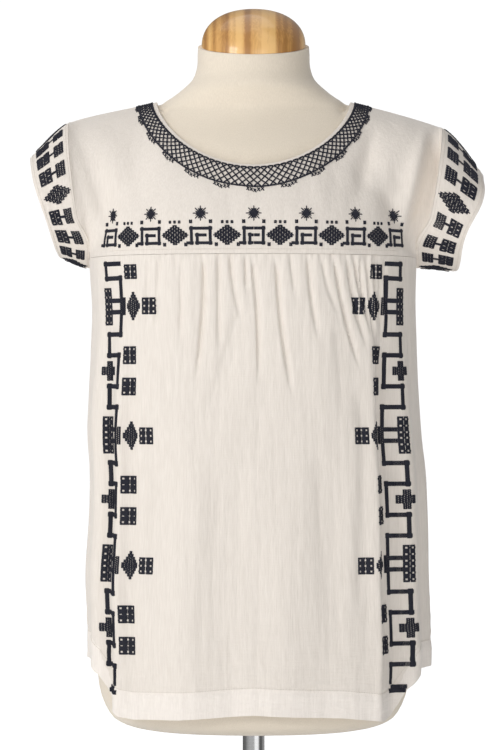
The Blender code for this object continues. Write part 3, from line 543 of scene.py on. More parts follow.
# Area lights: name, place, what it is aimed at, size and power.
LIGHTS = (
    ("key", (-2.0, -2.0, 1.5), (0, 0, 0.5), (0.9, 1.1), 26),
    ("fill", (0.6, -2.5, 0.8), (0, 0, 0.5), (1.4, 1.6), 12),
    ("spark", (-0.88, -2.3, 1.18), (0, 0, 0.85), (0.5, 0.09), 4.5),
    ("top", (-0.2, 0.3, 2.2), (0, 0, 0.6), (1.2, 1.2), 4),
)
WORLD_STRENGTH = 1.05
FLOOR_GLOW = (0.22, 0.75)  # how much light the floor gives off: to the cloth, and as seen
# The floor's base colour: pale, and nearly black where what is smooth sees the painted reflection
# instead.
FLOOR_TONES = ((0.9, 0.9, 0.9, 1.0), (0.05, 0.05, 0.05, 1.0))
FLOOR_REACH = 9.0
FLOOR_HEIGHT = -0.0005


def mix(a, b, share):
    return a + (b - a) * share


def smooth(value):
    value = min(max(value, 0.0), 1.0)
    return value * value * (3 - 2 * value)


def ramp_up(value, first, last):
    return smooth((value - first) / (last - first))


def look_up(table, key):
    """The values of a table's columns at a key, in straight lines between its rows."""
    if key <= table[0][0]:
        return table[0][1:]
    for low, high in zip(table, table[1:]):
        if key <= high[0]:
            share = (key - low[0]) / (high[0] - low[0])
            return tuple(mix(a, b, share) for a, b in zip(low[1:], high[1:]))
    return table[-1][1:]


def soft_look_up(table, key, reach):
    """The same, averaged over a reach each way, so that no section has a corner."""
    samples = [look_up(table, key + reach * step / 2) for step in range(-2, 3)]
    return tuple(sum(column) / len(samples) for column in zip(*samples))


def arc_angles(half_width, depth, count=240):
    """Angles from the centre to the side of a section, and how far along its edge each is."""
    angles = [math.pi / 2 * step / count for step in range(count + 1)]
    places = [oval(half_width, depth, ROUNDNESS, angle) for angle in angles]
    lengths = [0.0]
    for first, second in zip(places, places[1:]):
        lengths.append(lengths[-1] + math.dist(first, second))
    return list(zip(lengths, angles))


def oval(half_width, depth, roundness, angle):
    """A point of an oval's quarter, from the end of its depth to the end of its width."""
    power = 2 / roundness
    across = half_width * max(math.sin(angle), 0.0) ** power
    along = depth * max(math.cos(angle), 0.0) ** power
    return across, along


ARC = arc_angles(GIRTH_HALF_WIDTH, GIRTH_DEPTH)
HALF_GIRTH = ARC[-1][0]


def half_sizes(height, place, facing):
    """Half width and depth of the body's quarter that a place is in."""
    left, right, front, back = soft_look_up(BODY_SECTIONS, height, SECTION_EASE)
    return left if place < 0 else right, front if facing < 0 else back


def ring_point(height, place, facing):
    """A point of the body at a place along its girth. facing is -1 in front and 1 behind."""
    half_width, depth = half_sizes(height, place, facing)
    across, along = oval(half_width, depth, ROUNDNESS, look_up(ARC, abs(place))[0])
    return Vector((math.copysign(across, place), facing * along, height))


def ring_x(height, y, side):
    """How far out the body is at a depth, on one side."""
    half_width, depth = half_sizes(height, side, -1 if y < 0 else 1)
    return half_width * (1 - (abs(y) / depth) ** ROUNDNESS) ** (1 / ROUNDNESS)


def ring_normal(height, place, facing):
    """The level direction away from the body at a place along its girth."""
    half_width, depth = half_sizes(height, place, facing)
    point = ring_point(height, place, facing)
    power = ROUNDNESS - 1
    across = math.copysign((abs(point.x) / half_width) ** power / half_width, place)
    along = facing * (abs(point.y) / depth) ** power / depth
    return Vector((across, along, 0.0)).normalized()


def side_row(side):
    return dict(zip(SIDE_COLUMNS, SIDES[0] if side < 0 else SIDES[1]))


def armhole_span(side):
    """The height of the armhole's middle, and half its height."""
    top = side_row(side)["top"]
    return (top + ARMHOLE_BOTTOM) / 2, (top - ARMHOLE_BOTTOM) / 2


def armhole_point(side, turn, facing):
    """A point of the armhole, from its top at a turn of 0 to its bottom at a turn of pi."""
    middle, half = armhole_span(side)
    height = middle + half * math.cos(turn)
    y = facing * ARMHOLE_DEPTH * math.sin(turn)
    rise = (height - ARMHOLE_BOTTOM) / (2 * half)
    low = ring_x(ARMHOLE_BOTTOM, 0.0, side)
    shoulder = mix(low, side_row(side)["tip"], max(rise, 0.0) ** ARMHOLE_POWER)
    share = smooth((height - YOKE_SEAM) / ARMHOLE_EASE)
    return Vector((side * mix(ring_x(height, y, side), shoulder, share), y, height))


def square_to(first, second, towards):
    """The direction square to two others, on the given side of them."""
    normal = first.cross(second).normalized()
    return normal if normal.dot(towards) > 0 else -normal


def armhole_body(side, turn, facing):
    """At the armhole: the seam's own direction, the way out of the body and the way into the hole."""
    before = armhole_point(side, turn - ARMHOLE_STEP, facing)
    tangent = (armhole_point(side, turn + ARMHOLE_STEP, facing) - before).normalized()
    rise = (1 + math.cos(turn)) / 2
    top, below, power = WALL_OUT
    out = top + below * (1 - rise) ** power
    up = WALL_UP * max(math.cos(turn), 0.0)
    normal = Vector((side * out, facing * WALL_ROUND * math.sin(turn), up))
    normal = (normal - tangent * normal.dot(tangent)).normalized()
    hole = Vector((side, -facing * math.sin(turn), -math.cos(turn)))
    return tangent, normal, square_to(normal, tangent, hole)


def armhole_edge(side, turn, facing):
    """A point of the armhole seam, the wall's direction there and the way into the sleeve."""
    tangent, body_normal, _ = armhole_body(side, turn, facing)
    sleeve = sleeve_way(side, turn, facing)
    round_it = Vector((0.0, facing * math.sin(turn), math.cos(turn)))
    sleeve_normal = square_to(tangent, sleeve, round_it)
    normal = (sleeve_normal + body_normal).normalized()
    point = armhole_point(side, turn, facing)
    return point, normal, square_to(normal, tangent, sleeve)


def corner_turn(side):
    """The turn of the armhole at which it crosses the yoke seam."""
    middle, half = armhole_span(side)
    return math.acos((YOKE_SEAM - middle) / half)


def armhole_turns(side):
    """Turns of the armhole's points, which every piece that meets there shares."""
    corner = corner_turn(side)
    above = [corner * step / ARMHOLE_STEPS for step in range(ARMHOLE_STEPS)]
    below = [mix(corner, math.pi, step / CORNER_STEPS) for step in range(CORNER_STEPS + 1)]
    return above + below


def place_under(side, turn, facing):
    """The place along the girth that lies under a turn of the armhole."""
    depth = ARMHOLE_DEPTH * math.sin(turn)
    low, high = 0.0, HALF_GIRTH
    for _ in range(HALVINGS):
        middle = (low + high) / 2
        if abs(ring_point(YOKE_SEAM, side * middle, facing).y) > depth:
            low = middle
        else:
            high = middle
    return side * low


def corner_place(side, facing):
    return place_under(side, corner_turn(side), facing)


def side_places(side, facing):
    """Places from the corner of the armhole out to the side seam."""
    turns = armhole_turns(side)[ARMHOLE_STEPS:-1]
    return [place_under(side, turn, facing) for turn in turns] + [side * HALF_GIRTH]


def neck_point(turn):
    """A point of the neckline; a turn of 0 is the front centre and pi/2 the right side."""
    across, along = math.sin(turn), math.cos(turn)
    if along >= 0:
        drop = NECK_FRONT_DROP * along**NECK_FRONT_POWER
        reach = -NECK_FRONT_REACH * along**NECK_FULLNESS
    else:
        drop = NECK_BACK_DROP * abs(along)
        reach = NECK_BACK_REACH * abs(along) ** NECK_FULLNESS
    return Vector((NECK_HALF * across, NECK_Y + reach, NECK_SIDE - drop))


def neck_direction(turn):
    """The way that the cloth leaves the neckline."""
    front = max(math.cos(turn), 0.0)
    back = max(-math.cos(turn), 0.0)
    fall = NECK_FALL + NECK_FRONT_FALL * front**NECK_FALL_POWER + NECK_BACK_FALL * back
    return Vector((math.sin(turn), -math.cos(turn), -fall)).normalized()


def neck_normal(turn):
    """The way out of the cloth at the neckline."""
    along = Vector((math.cos(turn), math.sin(turn), 0.0))
    return square_to(along, neck_direction(turn), Vector((0.0, 0.0, 1.0)))


def bend(start, start_way, end, end_way, share, end_reach=THIRD):
    """A point of a curve that leaves its start and reaches its end in the given directions."""
    length = (end - start).length
    first = start + start_way * length * THIRD
    points = (start, first, end - end_way * length * end_reach, end)
    rest = 1 - share
    weights = (rest**3, 3 * share * rest**2, 3 * share**2 * rest, share**3)
    return sum((point * weight for point, weight in zip(points, weights)), Vector())


def armhole_way(side, turn, facing):
    """The way that the yoke reaches the armhole: square to it at the top, along it at the corner."""
    tangent, _, into = armhole_body(side, turn, facing)
    swing = math.radians(CORNER_SWING) * smooth(turn / corner_turn(side))
    return (into * math.cos(swing) + tangent * math.sin(swing)).normalized()


def upper_columns(facing):
    """Columns from the left shoulder to the right one: where each ends, which way, and its turn."""
    parts = {}
    for side in (-1, 1):
        parts[side] = []
        for step, turn in enumerate(armhole_turns(side)[:ARMHOLE_STEPS]):
            point, normal, out = armhole_edge(side, turn, facing)
            way = armhole_way(side, turn, facing)
            neck_turn = side * mix(math.pi / 2, NECK_CORNER, step / ARMHOLE_STEPS)
            end = point - out * (SEAM / 2)
            parts[side].append((end, way, neck_turn, normal, ARMHOLE_REACH))
    return parts[-1] + seam_columns(facing) + parts[1][::-1]


def seam_columns(facing):
    """The columns that end at the yoke seam, from the left corner to the right one."""
    columns = []
    first, last = corner_place(-1, facing), corner_place(1, facing)
    for step in range(SEAM_STEPS + 1):
        share = step / SEAM_STEPS
        place = mix(first, last, share)
        end = ring_point(YOKE_SEAM, place, facing)
        normal = ring_normal(YOKE_SEAM, place, facing)
        if step in (0, SEAM_STEPS):
            side = -1 if step == 0 else 1
            point, normal, out = armhole_edge(side, corner_turn(side), facing)
            end = point - out * (SEAM / 2)
        turn = mix(-NECK_CORNER, NECK_CORNER, share)
        reach = mix(THIRD, ARMHOLE_REACH, abs(2 * share - 1) ** REACH_POWER)
        columns.append((end, seam_way(share, facing), turn, normal, reach))
    return columns


def seam_way(share, facing):
    """The way that the yoke reaches its seam: straight down, and like the armhole at the corners."""
    side = -1 if share < 0.5 else 1
    corner = armhole_way(side, corner_turn(side), facing)
    down = Vector((0.0, facing * SEAM_LEAN, -1.0)).normalized()
    return (down + (corner - down) * abs(2 * share - 1) ** CORNER_POWER).normalized()


def upper_grid(facing):
    """The cloth from the neckline out to the armholes and down to the yoke seam, as rows.

    Each entry is a point, its lift, and the wall's direction where the mesh must not choose it.
    """
    rows = [[] for _ in range(YOKE_ROWS + 1)]
    for end, way, neck_turn, end_normal, reach in upper_columns(facing):
        turn = neck_turn if facing < 0 else math.pi - neck_turn
        start_way = neck_direction(turn)
        start = neck_point(turn) + start_way * (BINDING_WIDTH + SEAM)
        last = end + Vector((0.0, 0.0, SEAM / 2))
        for index, row in enumerate(rows):
            point = bend(start, start_way, last, way, index / YOKE_ROWS, reach)
            normal = {0: neck_normal(turn), YOKE_ROWS: end_normal}.get(index)
            row.append((point, yoke_lift(point) if facing < 0 else 0.0, normal))
    part_shoulders(rows, facing * SEAM / 2)
    return relax(rows)


def part_shoulders(rows, distance):
    """Parts the front and back along the shoulder seams, with the wall square to the seam."""
    for end in (0, -1):
        column = [row[end][0] for row in rows]
        for index, row in enumerate(rows):
            point, lift, normal = row[end]
            if normal is None:
                along = column[index + 1] - column[index - 1]
                normal = square_to(along, Vector((0, 1, 0)), Vector((0, 0, 1)))
            row[end] = (point + Vector((0.0, distance, 0.0)), lift, normal)


def relax(rows):
    """Smooths a grid inside its edges, which stay; the first and last rows ease in."""
    count, width = len(rows), len(rows[0])
    points = np.array([[tuple(entry[0]) for entry in row] for row in rows])
    eases = []
    for size, kept in ((count, YOKE_KEEP[0]), (width, YOKE_KEEP[1])):
        steps = np.arange(size)
        eases.append(np.clip(np.minimum(steps, size - 1 - steps) / kept, 0, 1))
    ease = (eases[0][:, None] * eases[1][None, :])[1:-1, 1:-1, None] * 0.5
    for _ in range(YOKE_PASSES):
        middle = points[1:-1, 1:-1]
        mean = (points[:-2, 1:-1] + points[2:, 1:-1] + points[1:-1, :-2] + points[1:-1, 2:]) / 4
        points[1:-1, 1:-1] = middle + (mean - middle) * ease
    return [
        [(Vector(points[i, j]), rows[i][j][1], rows[i][j][2]) for j in range(width)]
        for i in range(count)
    ]


def along_line(point, x0, height0, x1, height1):
    """Seen from the front: a point's share of the way along a line, its offset, and the line."""
    start = Vector((x0, height0))
    along = Vector((x1, height1)) - start
    offset = Vector((point.x, point.z)) - start
    return offset.dot(along) / along.length_squared, offset, along


def yoke_lift(point):
    """How far the yoke's broad folds move the cloth out."""
    total = 0.0
    for *line, half_width, lift in YOKE_FOLDS:
        share, offset, along = along_line(point, *line)
        share = min(max(share, 0.0), 1.0)
        away = (offset - along * share).length / half_width
        swell = math.sin(math.pi * mix(DIAGONAL_START, 1.0, share))
        total += lift * math.exp(-away * away) * swell
    edge = smooth((point.z - YOKE_SEAM) / DIAGONAL_LOW_FADE)
    edge *= smooth((NECK_SIDE - DIAGONAL_TOP - point.z) / DIAGONAL_TOP_FADE)
    return total * edge


def yoke_crease_lift(point):
    """The same of the yoke's creases, which fade past both of their ends."""
    total = 0.0
    before, after = YOKE_CREASE_ENDS
    for *line, left_width, right_width, lift in YOKE_CREASES:
        share, offset, along = along_line(point, *line)
        if not before < share < after:
            continue
        away = offset - along * share
        width = left_width if away.x < 0 else right_width
        swell = smooth((share - before) / YOKE_CREASE_SWELL)
        swell *= smooth((after - share) / YOKE_CREASE_SWELL)
        total += lift * math.exp(-((away.length / width) ** 2)) * swell
    return total


def yoke_fine(rows, seed, creased):
    """Adds small creases to a yoke's lifts, none at its edges."""
    count, width = len(rows), len(rows[0])
    top, low, sides = YOKE_FADE
    across, along, up = YOKE_WAVES
    made = []
    for i, row in enumerate(rows):
        line = []
        for j, (point, lift, normal) in enumerate(row):
            inside = smooth(i / top) * smooth((count - 1 - i) / low)
            inside *= smooth(j / sides) * smooth((width - 1 - j) / sides)
            wave = noise.noise(Vector((point.x * across, point.y * along, point.z * up + seed)))
            fine = YOKE_CRINKLE * wave + (yoke_crease_lift(point) if creased else 0.0)
            line.append((point, (lift + fine) * (1.0 if inside >= 1 else inside), normal))
        made.append(line)
    return made


def fold_lift(table, place, height):
    """How far the long folds move the cloth out at a place."""
    total = 0.0
    for top_place, low_place, top, low, half_width, lift in table:
        share = (top - height) / (top - low)
        centre = mix(top_place, low_place, min(max(share, 0.0), 1.0))
        away = (place - centre) / half_width
        total += lift * math.exp(-away * away) * smooth(share / FOLD_RISE)
    return total


def gather_lift(place, height):
    """How far the gathers move the cloth out at a place."""
    total = 0.0
    below = YOKE_SEAM - height
    places = [row[0] for row in GATHERS]
    for index, (top_place, foot, length, depth) in enumerate(GATHERS):
        near = places[max(index - 1, 0)], places[min(index + 1, len(places) - 1)]
        spread = max((near[1] - near[0]) / 2, GATHER_SPREAD)
        share = min(below / length, 1.0)
        centre = mix(top_place, foot, share)
        away = (place - centre) / (spread * mix(GATHER_SHARE, GATHER_FOOT_SHARE, share))
        total -= depth * math.exp(-away * away) * (1 - smooth(share))
    first, last = places[0] - GATHER_EDGE, places[-1] + GATHER_EDGE
    inside = smooth((place - first) / GATHER_FADE) * smooth((last - place) / GATHER_FADE)
    return total + GATHER_PUFF * inside * (1 - smooth(below / GATHER_FALL))


def crease_lift(table, place, below):
    """Narrow creases that run down from the yoke seam, wider on their right."""
    total = 0.0
    for top_place, foot, sway, top, low, depth, half_width in table:
        share = (below - top) / (low - top)
        if not 0.0 < share < 1.0:
            continue
        away = place - (mix(top_place, foot, share) + sway * math.sin(math.pi * share))
        away /= half_width * (1.0 if away < 0 else CREASE_SLOPE)
        if abs(away) > CREASE_REACH:
            continue
        ends = smooth(share / CREASE_ENDS[0]) * smooth((1 - share) / CREASE_ENDS[1])
        total -= CREASE_DEPTH * depth * math.exp(-away * away) * ends
    return total


def tuck_table(first, last, count, seed):
    """Short tucks between the main gathers: place, length, depth and half width."""
    draw = random.Random(seed)
    tucks = []
    for index in range(count):
        place = mix(first, last, (index + draw.uniform(*TUCK_SPREAD)) / count)
        tucks.append((place, *(draw.uniform(*limits) for limits in TUCK_LIMITS)))
    return tucks


TUCKS = tuck_table(-92, 138, 46, 11)


def tuck_lift(place, below):
    total = 0.0
    for centre, length, depth, half_width in TUCKS:
        away = (place - centre) / half_width
        if abs(away) < TUCK_REACH:
            total -= depth * math.exp(-away * away) * (1 - smooth(below / length))
    return total


def gauze_lift(place, height, seed):
    """The small upright crinkles of a gauze, as a lift."""
    return sum(
        depth * noise.noise(Vector((place * across, height * up, seed + shift)))
        for across, up, shift, depth in GAUZE_WAVES
    )


def hem_lift(above_hem, crinkle):
    """The turned hem: two layers, a little fuller, with small level crinkles over it."""
    turned = HEM_FULLNESS * smooth((HEM_DEPTH - above_hem) / HEM_STEP)
    groove = HEM_FULLNESS * math.exp(-(((above_hem - HEM_DEPTH) / HEM_GROOVE) ** 2))
    top, edge = HEM_CRINKLE_FADES
    near = smooth((HEM_CRINKLES - above_hem) / top) * smooth(above_hem / edge)
    return turned - groove + HEM_CRINKLE * near * crinkle


def even(first, last, count):
    return [mix(first, last, step / count) for step in range(count + 1)]


def spaced(first, last):
    return even(first, last, max(round(abs(last - first) / SIDE_SPACING), 1))


def front_places():
    """Places of the front panel's columns, close together where it is gathered."""
    left, right = side_places(-1, -1), side_places(1, -1)
    first, last = GATHERED
    gathered = even(first, last, round((last - first) / GATHER_SPACING))
    ways_in = spaced(left[0], first)[:-1], spaced(last, right[0])[1:]
    return left[:0:-1] + ways_in[0] + gathered + ways_in[1] + right[1:]


def back_places():
    left, right = side_places(-1, 1), side_places(1, 1)
    return left[:0:-1] + even(left[0], right[0], SEAM_STEPS) + right[1:]


def top_turn(place, facing):
    """The armhole's turn over a place near the side, or None where the yoke seam is over it."""
    side = -1 if place < 0 else 1
    y = abs(ring_point(YOKE_SEAM, place, facing).y)
    if y > ARMHOLE_DEPTH * math.sin(corner_turn(side)) + TOUCH:
        return None
    turn = math.pi - math.asin(min(y / ARMHOLE_DEPTH, 1.0))
    return min(armhole_turns(side), key=lambda shared: abs(shared - turn))


def panel_point(place, share, low, facing):
    """A point of a panel, its height before it is parted, and the wall's direction if set."""
    side = -1 if place < 0 else 1
    at_side = abs(place) > HALF_GIRTH - TOUCH
    edge_turn = top_turn(place, facing)
    top = YOKE_SEAM - SEAM / 2
    if edge_turn is not None:
        edge, edge_normal, out = armhole_edge(side, edge_turn, facing)
        edge -= out * (SEAM / 2)
        top = edge.z
    height = mix(top, low, share)
    point = ring_point(height, place, facing)
    normal = ring_normal(height, place, facing) if share == 0 else None
    if at_side:
        normal = Vector((side, 0.0, 0.0))
    if share == 0 and edge_turn is not None:
        point, normal = edge, edge_normal
        if edge_turn == corner_turn(side) and not at_side:
            point.z -= CORNER_GAP
    if at_side:
        point.y += facing * SEAM / 2
    return point, height, normal


def panel_grid(places, facing, folds, creases, hem, seed):
    """A lower panel from the yoke seam and the armholes down to the hem, as rows."""
    rows = []
    for step in range(PANEL_ROWS + 1):
        row = []
        for place in places:
            low = look_up(hem, place / HALF_GIRTH)[0]
            point, height, normal = panel_point(place, step / PANEL_ROWS, low, facing)
            from_side = HALF_GIRTH - abs(place)
            below = YOKE_SEAM - point.z
            lift = fold_lift(folds, place, height)
            if facing < 0:
                lift += GATHER_SOFT * gather_lift(place, height)
            lift *= smooth(from_side / SIDE_FADE)
            across, up = HEM_WAVES
            crinkle = noise.noise(Vector((place * across, point.z * up, seed + 3)))
            fine = gauze_lift(place, point.z, seed) * smooth(below / GAUZE_SEAM_FADE)
            fine += hem_lift(point.z - low, crinkle) + crease_lift(creases, place, below)
            fine *= smooth(from_side / FINE_SIDE_FADE)
            if facing < 0:
                fine += tuck_lift(place, below)
            row.append((point, lift + fine, normal))
        rows.append(row)
    return rows


def sleeve_way(side, turn, facing):
    """The way that the sleeve leaves the armhole: with the shoulder, and outwards below."""
    fall = SLEEVE_FALL + SLEEVE_TOP_FALL * (1 + math.cos(turn)) / 2
    return Vector((side, facing * SLEEVE_ROUND * math.sin(turn), -fall)).normalized()


def cuff_point(row, turn, facing):
    rise = (1 + math.cos(turn)) / 2
    wave = CUFF_WAVE[row["side"]] * math.sin(turn) * math.sin(2 * math.pi * rise)
    out = mix(row["cuff_low_out"], row["cuff_top_out"], rise) - wave
    height = mix(row["cuff_low"], row["cuff_top"], rise)
    return Vector((row["side"] * out, facing * CUFF_DEPTH * math.sin(turn), height))


def sleeve_grid(side, seed):
    """A sleeve from the armhole to its turned cuff, with small crinkles, as rings."""
    row = side_row(side)
    rows = [[] for _ in range(SLEEVE_ROWS + 1)]
    turns = armhole_turns(side)
    along, up = SLEEVE_WAVES
    for turn, facing in [(turn, -1) for turn in turns] + [(turn, 1) for turn in turns[-2:0:-1]]:
        start_way = sleeve_way(side, turn, facing)
        point, normal, out = armhole_edge(side, turn, facing)
        start = point + out * (SEAM / 2)
        end = cuff_point(row, turn, facing)
        end_way = (end - start).normalized()
        for index, line in enumerate(rows):
            share = index / SLEEVE_ROWS
            place = bend(start, start_way, end, end_way, share)
            turned = CUFF_FULLNESS * ramp_up(share, *CUFF_TURN) * (1 - ramp_up(share, *CUFF_EDGE))
            wave = noise.noise(Vector((place.y * along, place.z * up, seed)))
            lift = turned + SLEEVE_CRINKLE * wave * smooth(share * 4)
            line.append((place, lift, normal if index == 0 else None))
    return rows


def grid_mesh(rows, closed):
    """A surface through rows of points, each with its lift and its wall's direction."""
    mesh = bmesh.new()
    lift = mesh.verts.layers.float.new("lift")
    wall = mesh.verts.layers.float_vector.new("wall")
    made = []
    for row in rows:
        line = []
        for point, amount, normal in row:
            vertex = mesh.verts.new(point)
            vertex[lift] = amount
            vertex[wall] = normal or Vector()
            line.append(vertex)
        made.append(line)
    for upper, lower in zip(made, made[1:]):
        for index in range(len(upper) if closed else len(upper) - 1):
            after = (index + 1) % len(upper)
            mesh.faces.new((upper[index], upper[after], lower[after], lower[index]))
    bmesh.ops.remove_doubles(mesh, verts=mesh.verts, dist=MERGE)
    bmesh.ops.recalc_face_normals(mesh, faces=mesh.faces)
    mesh.normal_update()
    faces_out(mesh)
    return mesh


def faces_out(mesh):
    """Turns the surface so that its normals leave the middle of the part."""
    total = sum((face.calc_center_median() - CENTRE).dot(face.normal) for face in mesh.faces)
    if total < 0:
        bmesh.ops.reverse_faces(mesh, faces=mesh.faces)
        mesh.normal_update()


def shell(mesh):
    """The wall under a surface that its lifts have moved: points, then faces by side."""
    lift = mesh.verts.layers.float["lift"]
    wall = mesh.verts.layers.float_vector["wall"]
    mesh.verts.index_update()
    mesh.faces.index_update()
    ways = [
        vertex[wall] if vertex[wall].length > 0.5 else vertex.normal for vertex in mesh.verts
    ]
    above = [vertex.co + way * vertex[lift] for way, vertex in zip(ways, mesh.verts)]
    under = [point - way * CLOTH for point, way in zip(above, ways)]
    count = len(above)
    outer = [[vertex.index for vertex in face.verts] for face in mesh.faces]
    inner = [[index + count for index in reversed(face)] for face in outer]
    rim = []
    for edge in mesh.edges:
        if len(edge.link_faces) != 1:
            continue
        loop = outer[edge.link_faces[0].index]
        first, second = edge.verts[0].index, edge.verts[1].index
        if loop[(loop.index(first) + 1) % len(loop)] != second:
            first, second = second, first
        rim.append([second, first, first + count, second + count])
    return above + under, outer, inner, rim


def cloth_piece(name, rows, finish, closed=False):
    """One sewn piece, with its outer side for stitches and its inner side for the torso."""
    mesh = grid_mesh(rows, closed)
    points, outer, inner, rim = shell(mesh)
    mesh.free()
    walls = [face for pair in zip(outer, inner) for face in pair]
    made = add_object(name, points, walls + rim, finish)
    tree = BVHTree.FromPolygons(points[: len(points) // 2], outer)
    return {"object": made, "points": points, "inner": inner, "outer": tree}


def lighten_hem(piece, last_row, finish):
    """Gives the turned hem, which is two layers of gauze, its own lighter finish."""
    line = sorted((point.x, point.z) for point, _, _ in last_row)
    places = [x for x, _ in line]
    heights = [height for _, height in line]
    mesh = piece["object"].data
    mesh.materials.append(finish)
    for face in mesh.polygons:
        centre = face.center / MM
        edge = np.interp(centre.x, places, heights) + TORSO_BOTTOM
        if centre.z < edge + HEM_DEPTH:
            face.material_index = 1


def add_object(name, points, faces, finish):
    """One object from points above the torso's underside, in millimetres."""
    mesh = bpy.data.meshes.new(name)
    moved = [(point[0] * MM, point[1] * MM, (point[2] + TORSO_BOTTOM) * MM) for point in points]
    mesh.from_pydata(moved, [], faces)
    mesh.materials.append(finish)
    mesh.shade_smooth()
    mesh.set_sharp_from_angle(angle=SHARP_FROM)
    made = bpy.data.objects.new(name, mesh)
    bpy.context.scene.collection.objects.link(made)
    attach(made, "root")
    return made


def closed_object(name, points, faces, finish):
    """The same with every face turned outwards."""
    made = add_object(name, points, faces, finish)
    mesh = bmesh.new()
    mesh.from_mesh(made.data)
    bmesh.ops.recalc_face_normals(mesh, faces=mesh.faces)
    mesh.to_mesh(made.data)
    mesh.free()
    return made


def blouse(finish, hem_finish):
    """Every sewn piece of the blouse by name, apart from the binding."""
    front = panel_grid(front_places(), -1, FRONT_FOLDS, FRONT_CREASES, FRONT_HEM, 1.0)
    back = panel_grid(back_places(), 1, BACK_FOLDS, BACK_CREASES, BACK_HEM, 4.0)
    grids = {
        "front_yoke": yoke_fine(upper_grid(-1), 2.0, True),
        "front_panel": front,
        "back_yoke": yoke_fine(upper_grid(1), 5.0, False),
        "back_panel": back,
        "sleeve_left": sleeve_grid(-1, 3.0),
        "sleeve_right": sleeve_grid(1, 6.0),
    }
    made = {}
    for name, rows in grids.items():
        made[name] = cloth_piece("cloth_" + name, rows, finish, name.startswith("sleeve"))
    lighten_hem(made["front_panel"], front[-1], hem_finish)
    lighten_hem(made["back_panel"], back[-1], hem_finish)
    return made


def ring_faces(low, high, size):
    """Faces between two rings of points, from the place that each ring starts at."""
    steps = [(step, (step + 1) % size) for step in range(size)]
    return [(low + step, low + after, high + after, high + step) for step, after in steps]


def binding(finish):
    """The neckline's binding, a narrow rounded band on the cloth's own slope."""
    half, edge, reach = BINDING_THICK / 2, BINDING_EDGE, BINDING_WIDTH
    outline = ((0, 0), (edge, half), (reach, half), (reach, -half), (edge, -half))
    size = len(outline)
    points, faces = [], []
    for step in range(BINDING_SEGMENTS):
        turn = 2 * math.pi * step / BINDING_SEGMENTS
        way, normal = neck_direction(turn), neck_normal(turn)
        start = neck_point(turn) - normal * (CLOTH / 2)
        points += [start + way * out + normal * up for out, up in outline]
        faces += ring_faces(step * size, (step + 1) % BINDING_SEGMENTS * size, size)
    return closed_object("cloth_neck_binding", points, faces, finish)


def neck_guide():
    """The underside of the binding, for the torso to stay under."""
    points, faces = [], []
    for step in range(BINDING_SEGMENTS):
        turn = 2 * math.pi * step / BINDING_SEGMENTS
        normal = neck_normal(turn)
        start = neck_point(turn) - normal * (CLOTH / 2 + BINDING_THICK / 2 + BINDING_ALLOWANCE)
        points += [start, start + neck_direction(turn) * BINDING_WIDTH]
        first, after = 2 * step, 2 * ((step + 1) % BINDING_SEGMENTS)
        faces.append([first, after, after + 1, first + 1])
    return points, faces


def inner_tree(parts):
    """The inside of all the cloth, to fit the torso under."""
    points, faces = [], []
    for part_points, part_faces in parts:
        start = len(points)
        points += part_points
        faces += [[index + start for index in reversed(face)] for face in part_faces]
    return BVHTree.FromPolygons(points, faces)


def stacked(name, rings, finish):
    """A closed object through level or tilted rings, each end closed to its ring's centre."""
    size = len(rings[0])
    points = [point for ring in rings for point in ring]
    last = len(points) - size
    faces = []
    for low in range(0, last, size):
        faces += ring_faces(low, low + size, size)
    for ring, start in ((rings[0], 0), (rings[-1], last)):
        faces += [(start + step, start + (step + 1) % size, len(points)) for step in range(size)]
        points.append(sum(ring, Vector()) / size)
    return closed_object(name, points, faces, finish)


def circle(radius, height, segments):
    turns = [2 * math.pi * step / segments for step in range(segments)]
    return [Vector((radius * math.cos(turn), radius * math.sin(turn), height)) for turn in turns]


def torso_ring(height, half_width, front, back, roundness):
    """One section of the torso, with the neck's rim tilted towards the front."""
    ring = []
    for step in range(TORSO_SEGMENTS):
        around = 2 * math.pi * step / TORSO_SEGMENTS
        quarter = math.asin(abs(math.cos(around)))
        depth = back if math.sin(around) > 0 else front
        across, along = oval(half_width, depth, roundness, quarter)
        x = math.copysign(across, math.cos(around))
        y = math.copysign(along, math.sin(around))
        tilt = NECK_TILT * y * smooth((height - NECK_TILT_FROM) / NECK_TILT_RISE)
        ring.append(Vector((x, y, height + tilt)))
    return ring


def fit_inside(point, cloth, clearance):
    """Moves a point of the torso in until it is clear of the cloth over it."""
    for _ in range(FIT_PASSES):
        place, normal, _, _ = cloth.find_nearest(point)
        away = (place - point).dot(normal)
        aside = (place - point - normal * away).length
        if aside > UNDER_CLOTH or away >= clearance:
            break
        point = point + normal * (away - clearance)
    return point


def ease_faces(rings, cloth):
    """Moves rings in where the faces between their points come too near the cloth."""
    size = len(rings[0])
    for low, high in zip(rings, rings[1:]):
        for step in range(size):
            after = (step + 1) % size
            corners = ((low, step), (low, after), (high, after), (high, step))
            middle = sum((ring[index] for ring, index in corners), Vector()) / 4
            moved = fit_inside(middle, cloth, CLOTH_CLEARANCE) - middle
            for ring, index in corners:
                ring[index] = ring[index] + moved


def fine_sections():
    """The torso's sections with smooth ones between them."""
    table = (TORSO_SECTIONS[0], *TORSO_SECTIONS, TORSO_SECTIONS[-1])
    rows = [TORSO_SECTIONS[0]]
    for near in zip(table, table[1:], table[2:], table[3:]):
        for step in range(1, SECTION_STEPS + 1):
            share = step / SECTION_STEPS
            rows.append(tuple(spline(share, *values) for values in zip(*near)))
    return rows


def spline(share, before, first, second, after):
    """A smooth value between the first and the second."""
    start, end = (second - before) / 2, (after - first) / 2
    square, cube = share * share, share**3
    value = (2 * cube - 3 * square + 1) * first + (3 * square - 2 * cube) * second
    return value + (cube - 2 * square + share) * start + (cube - square) * end


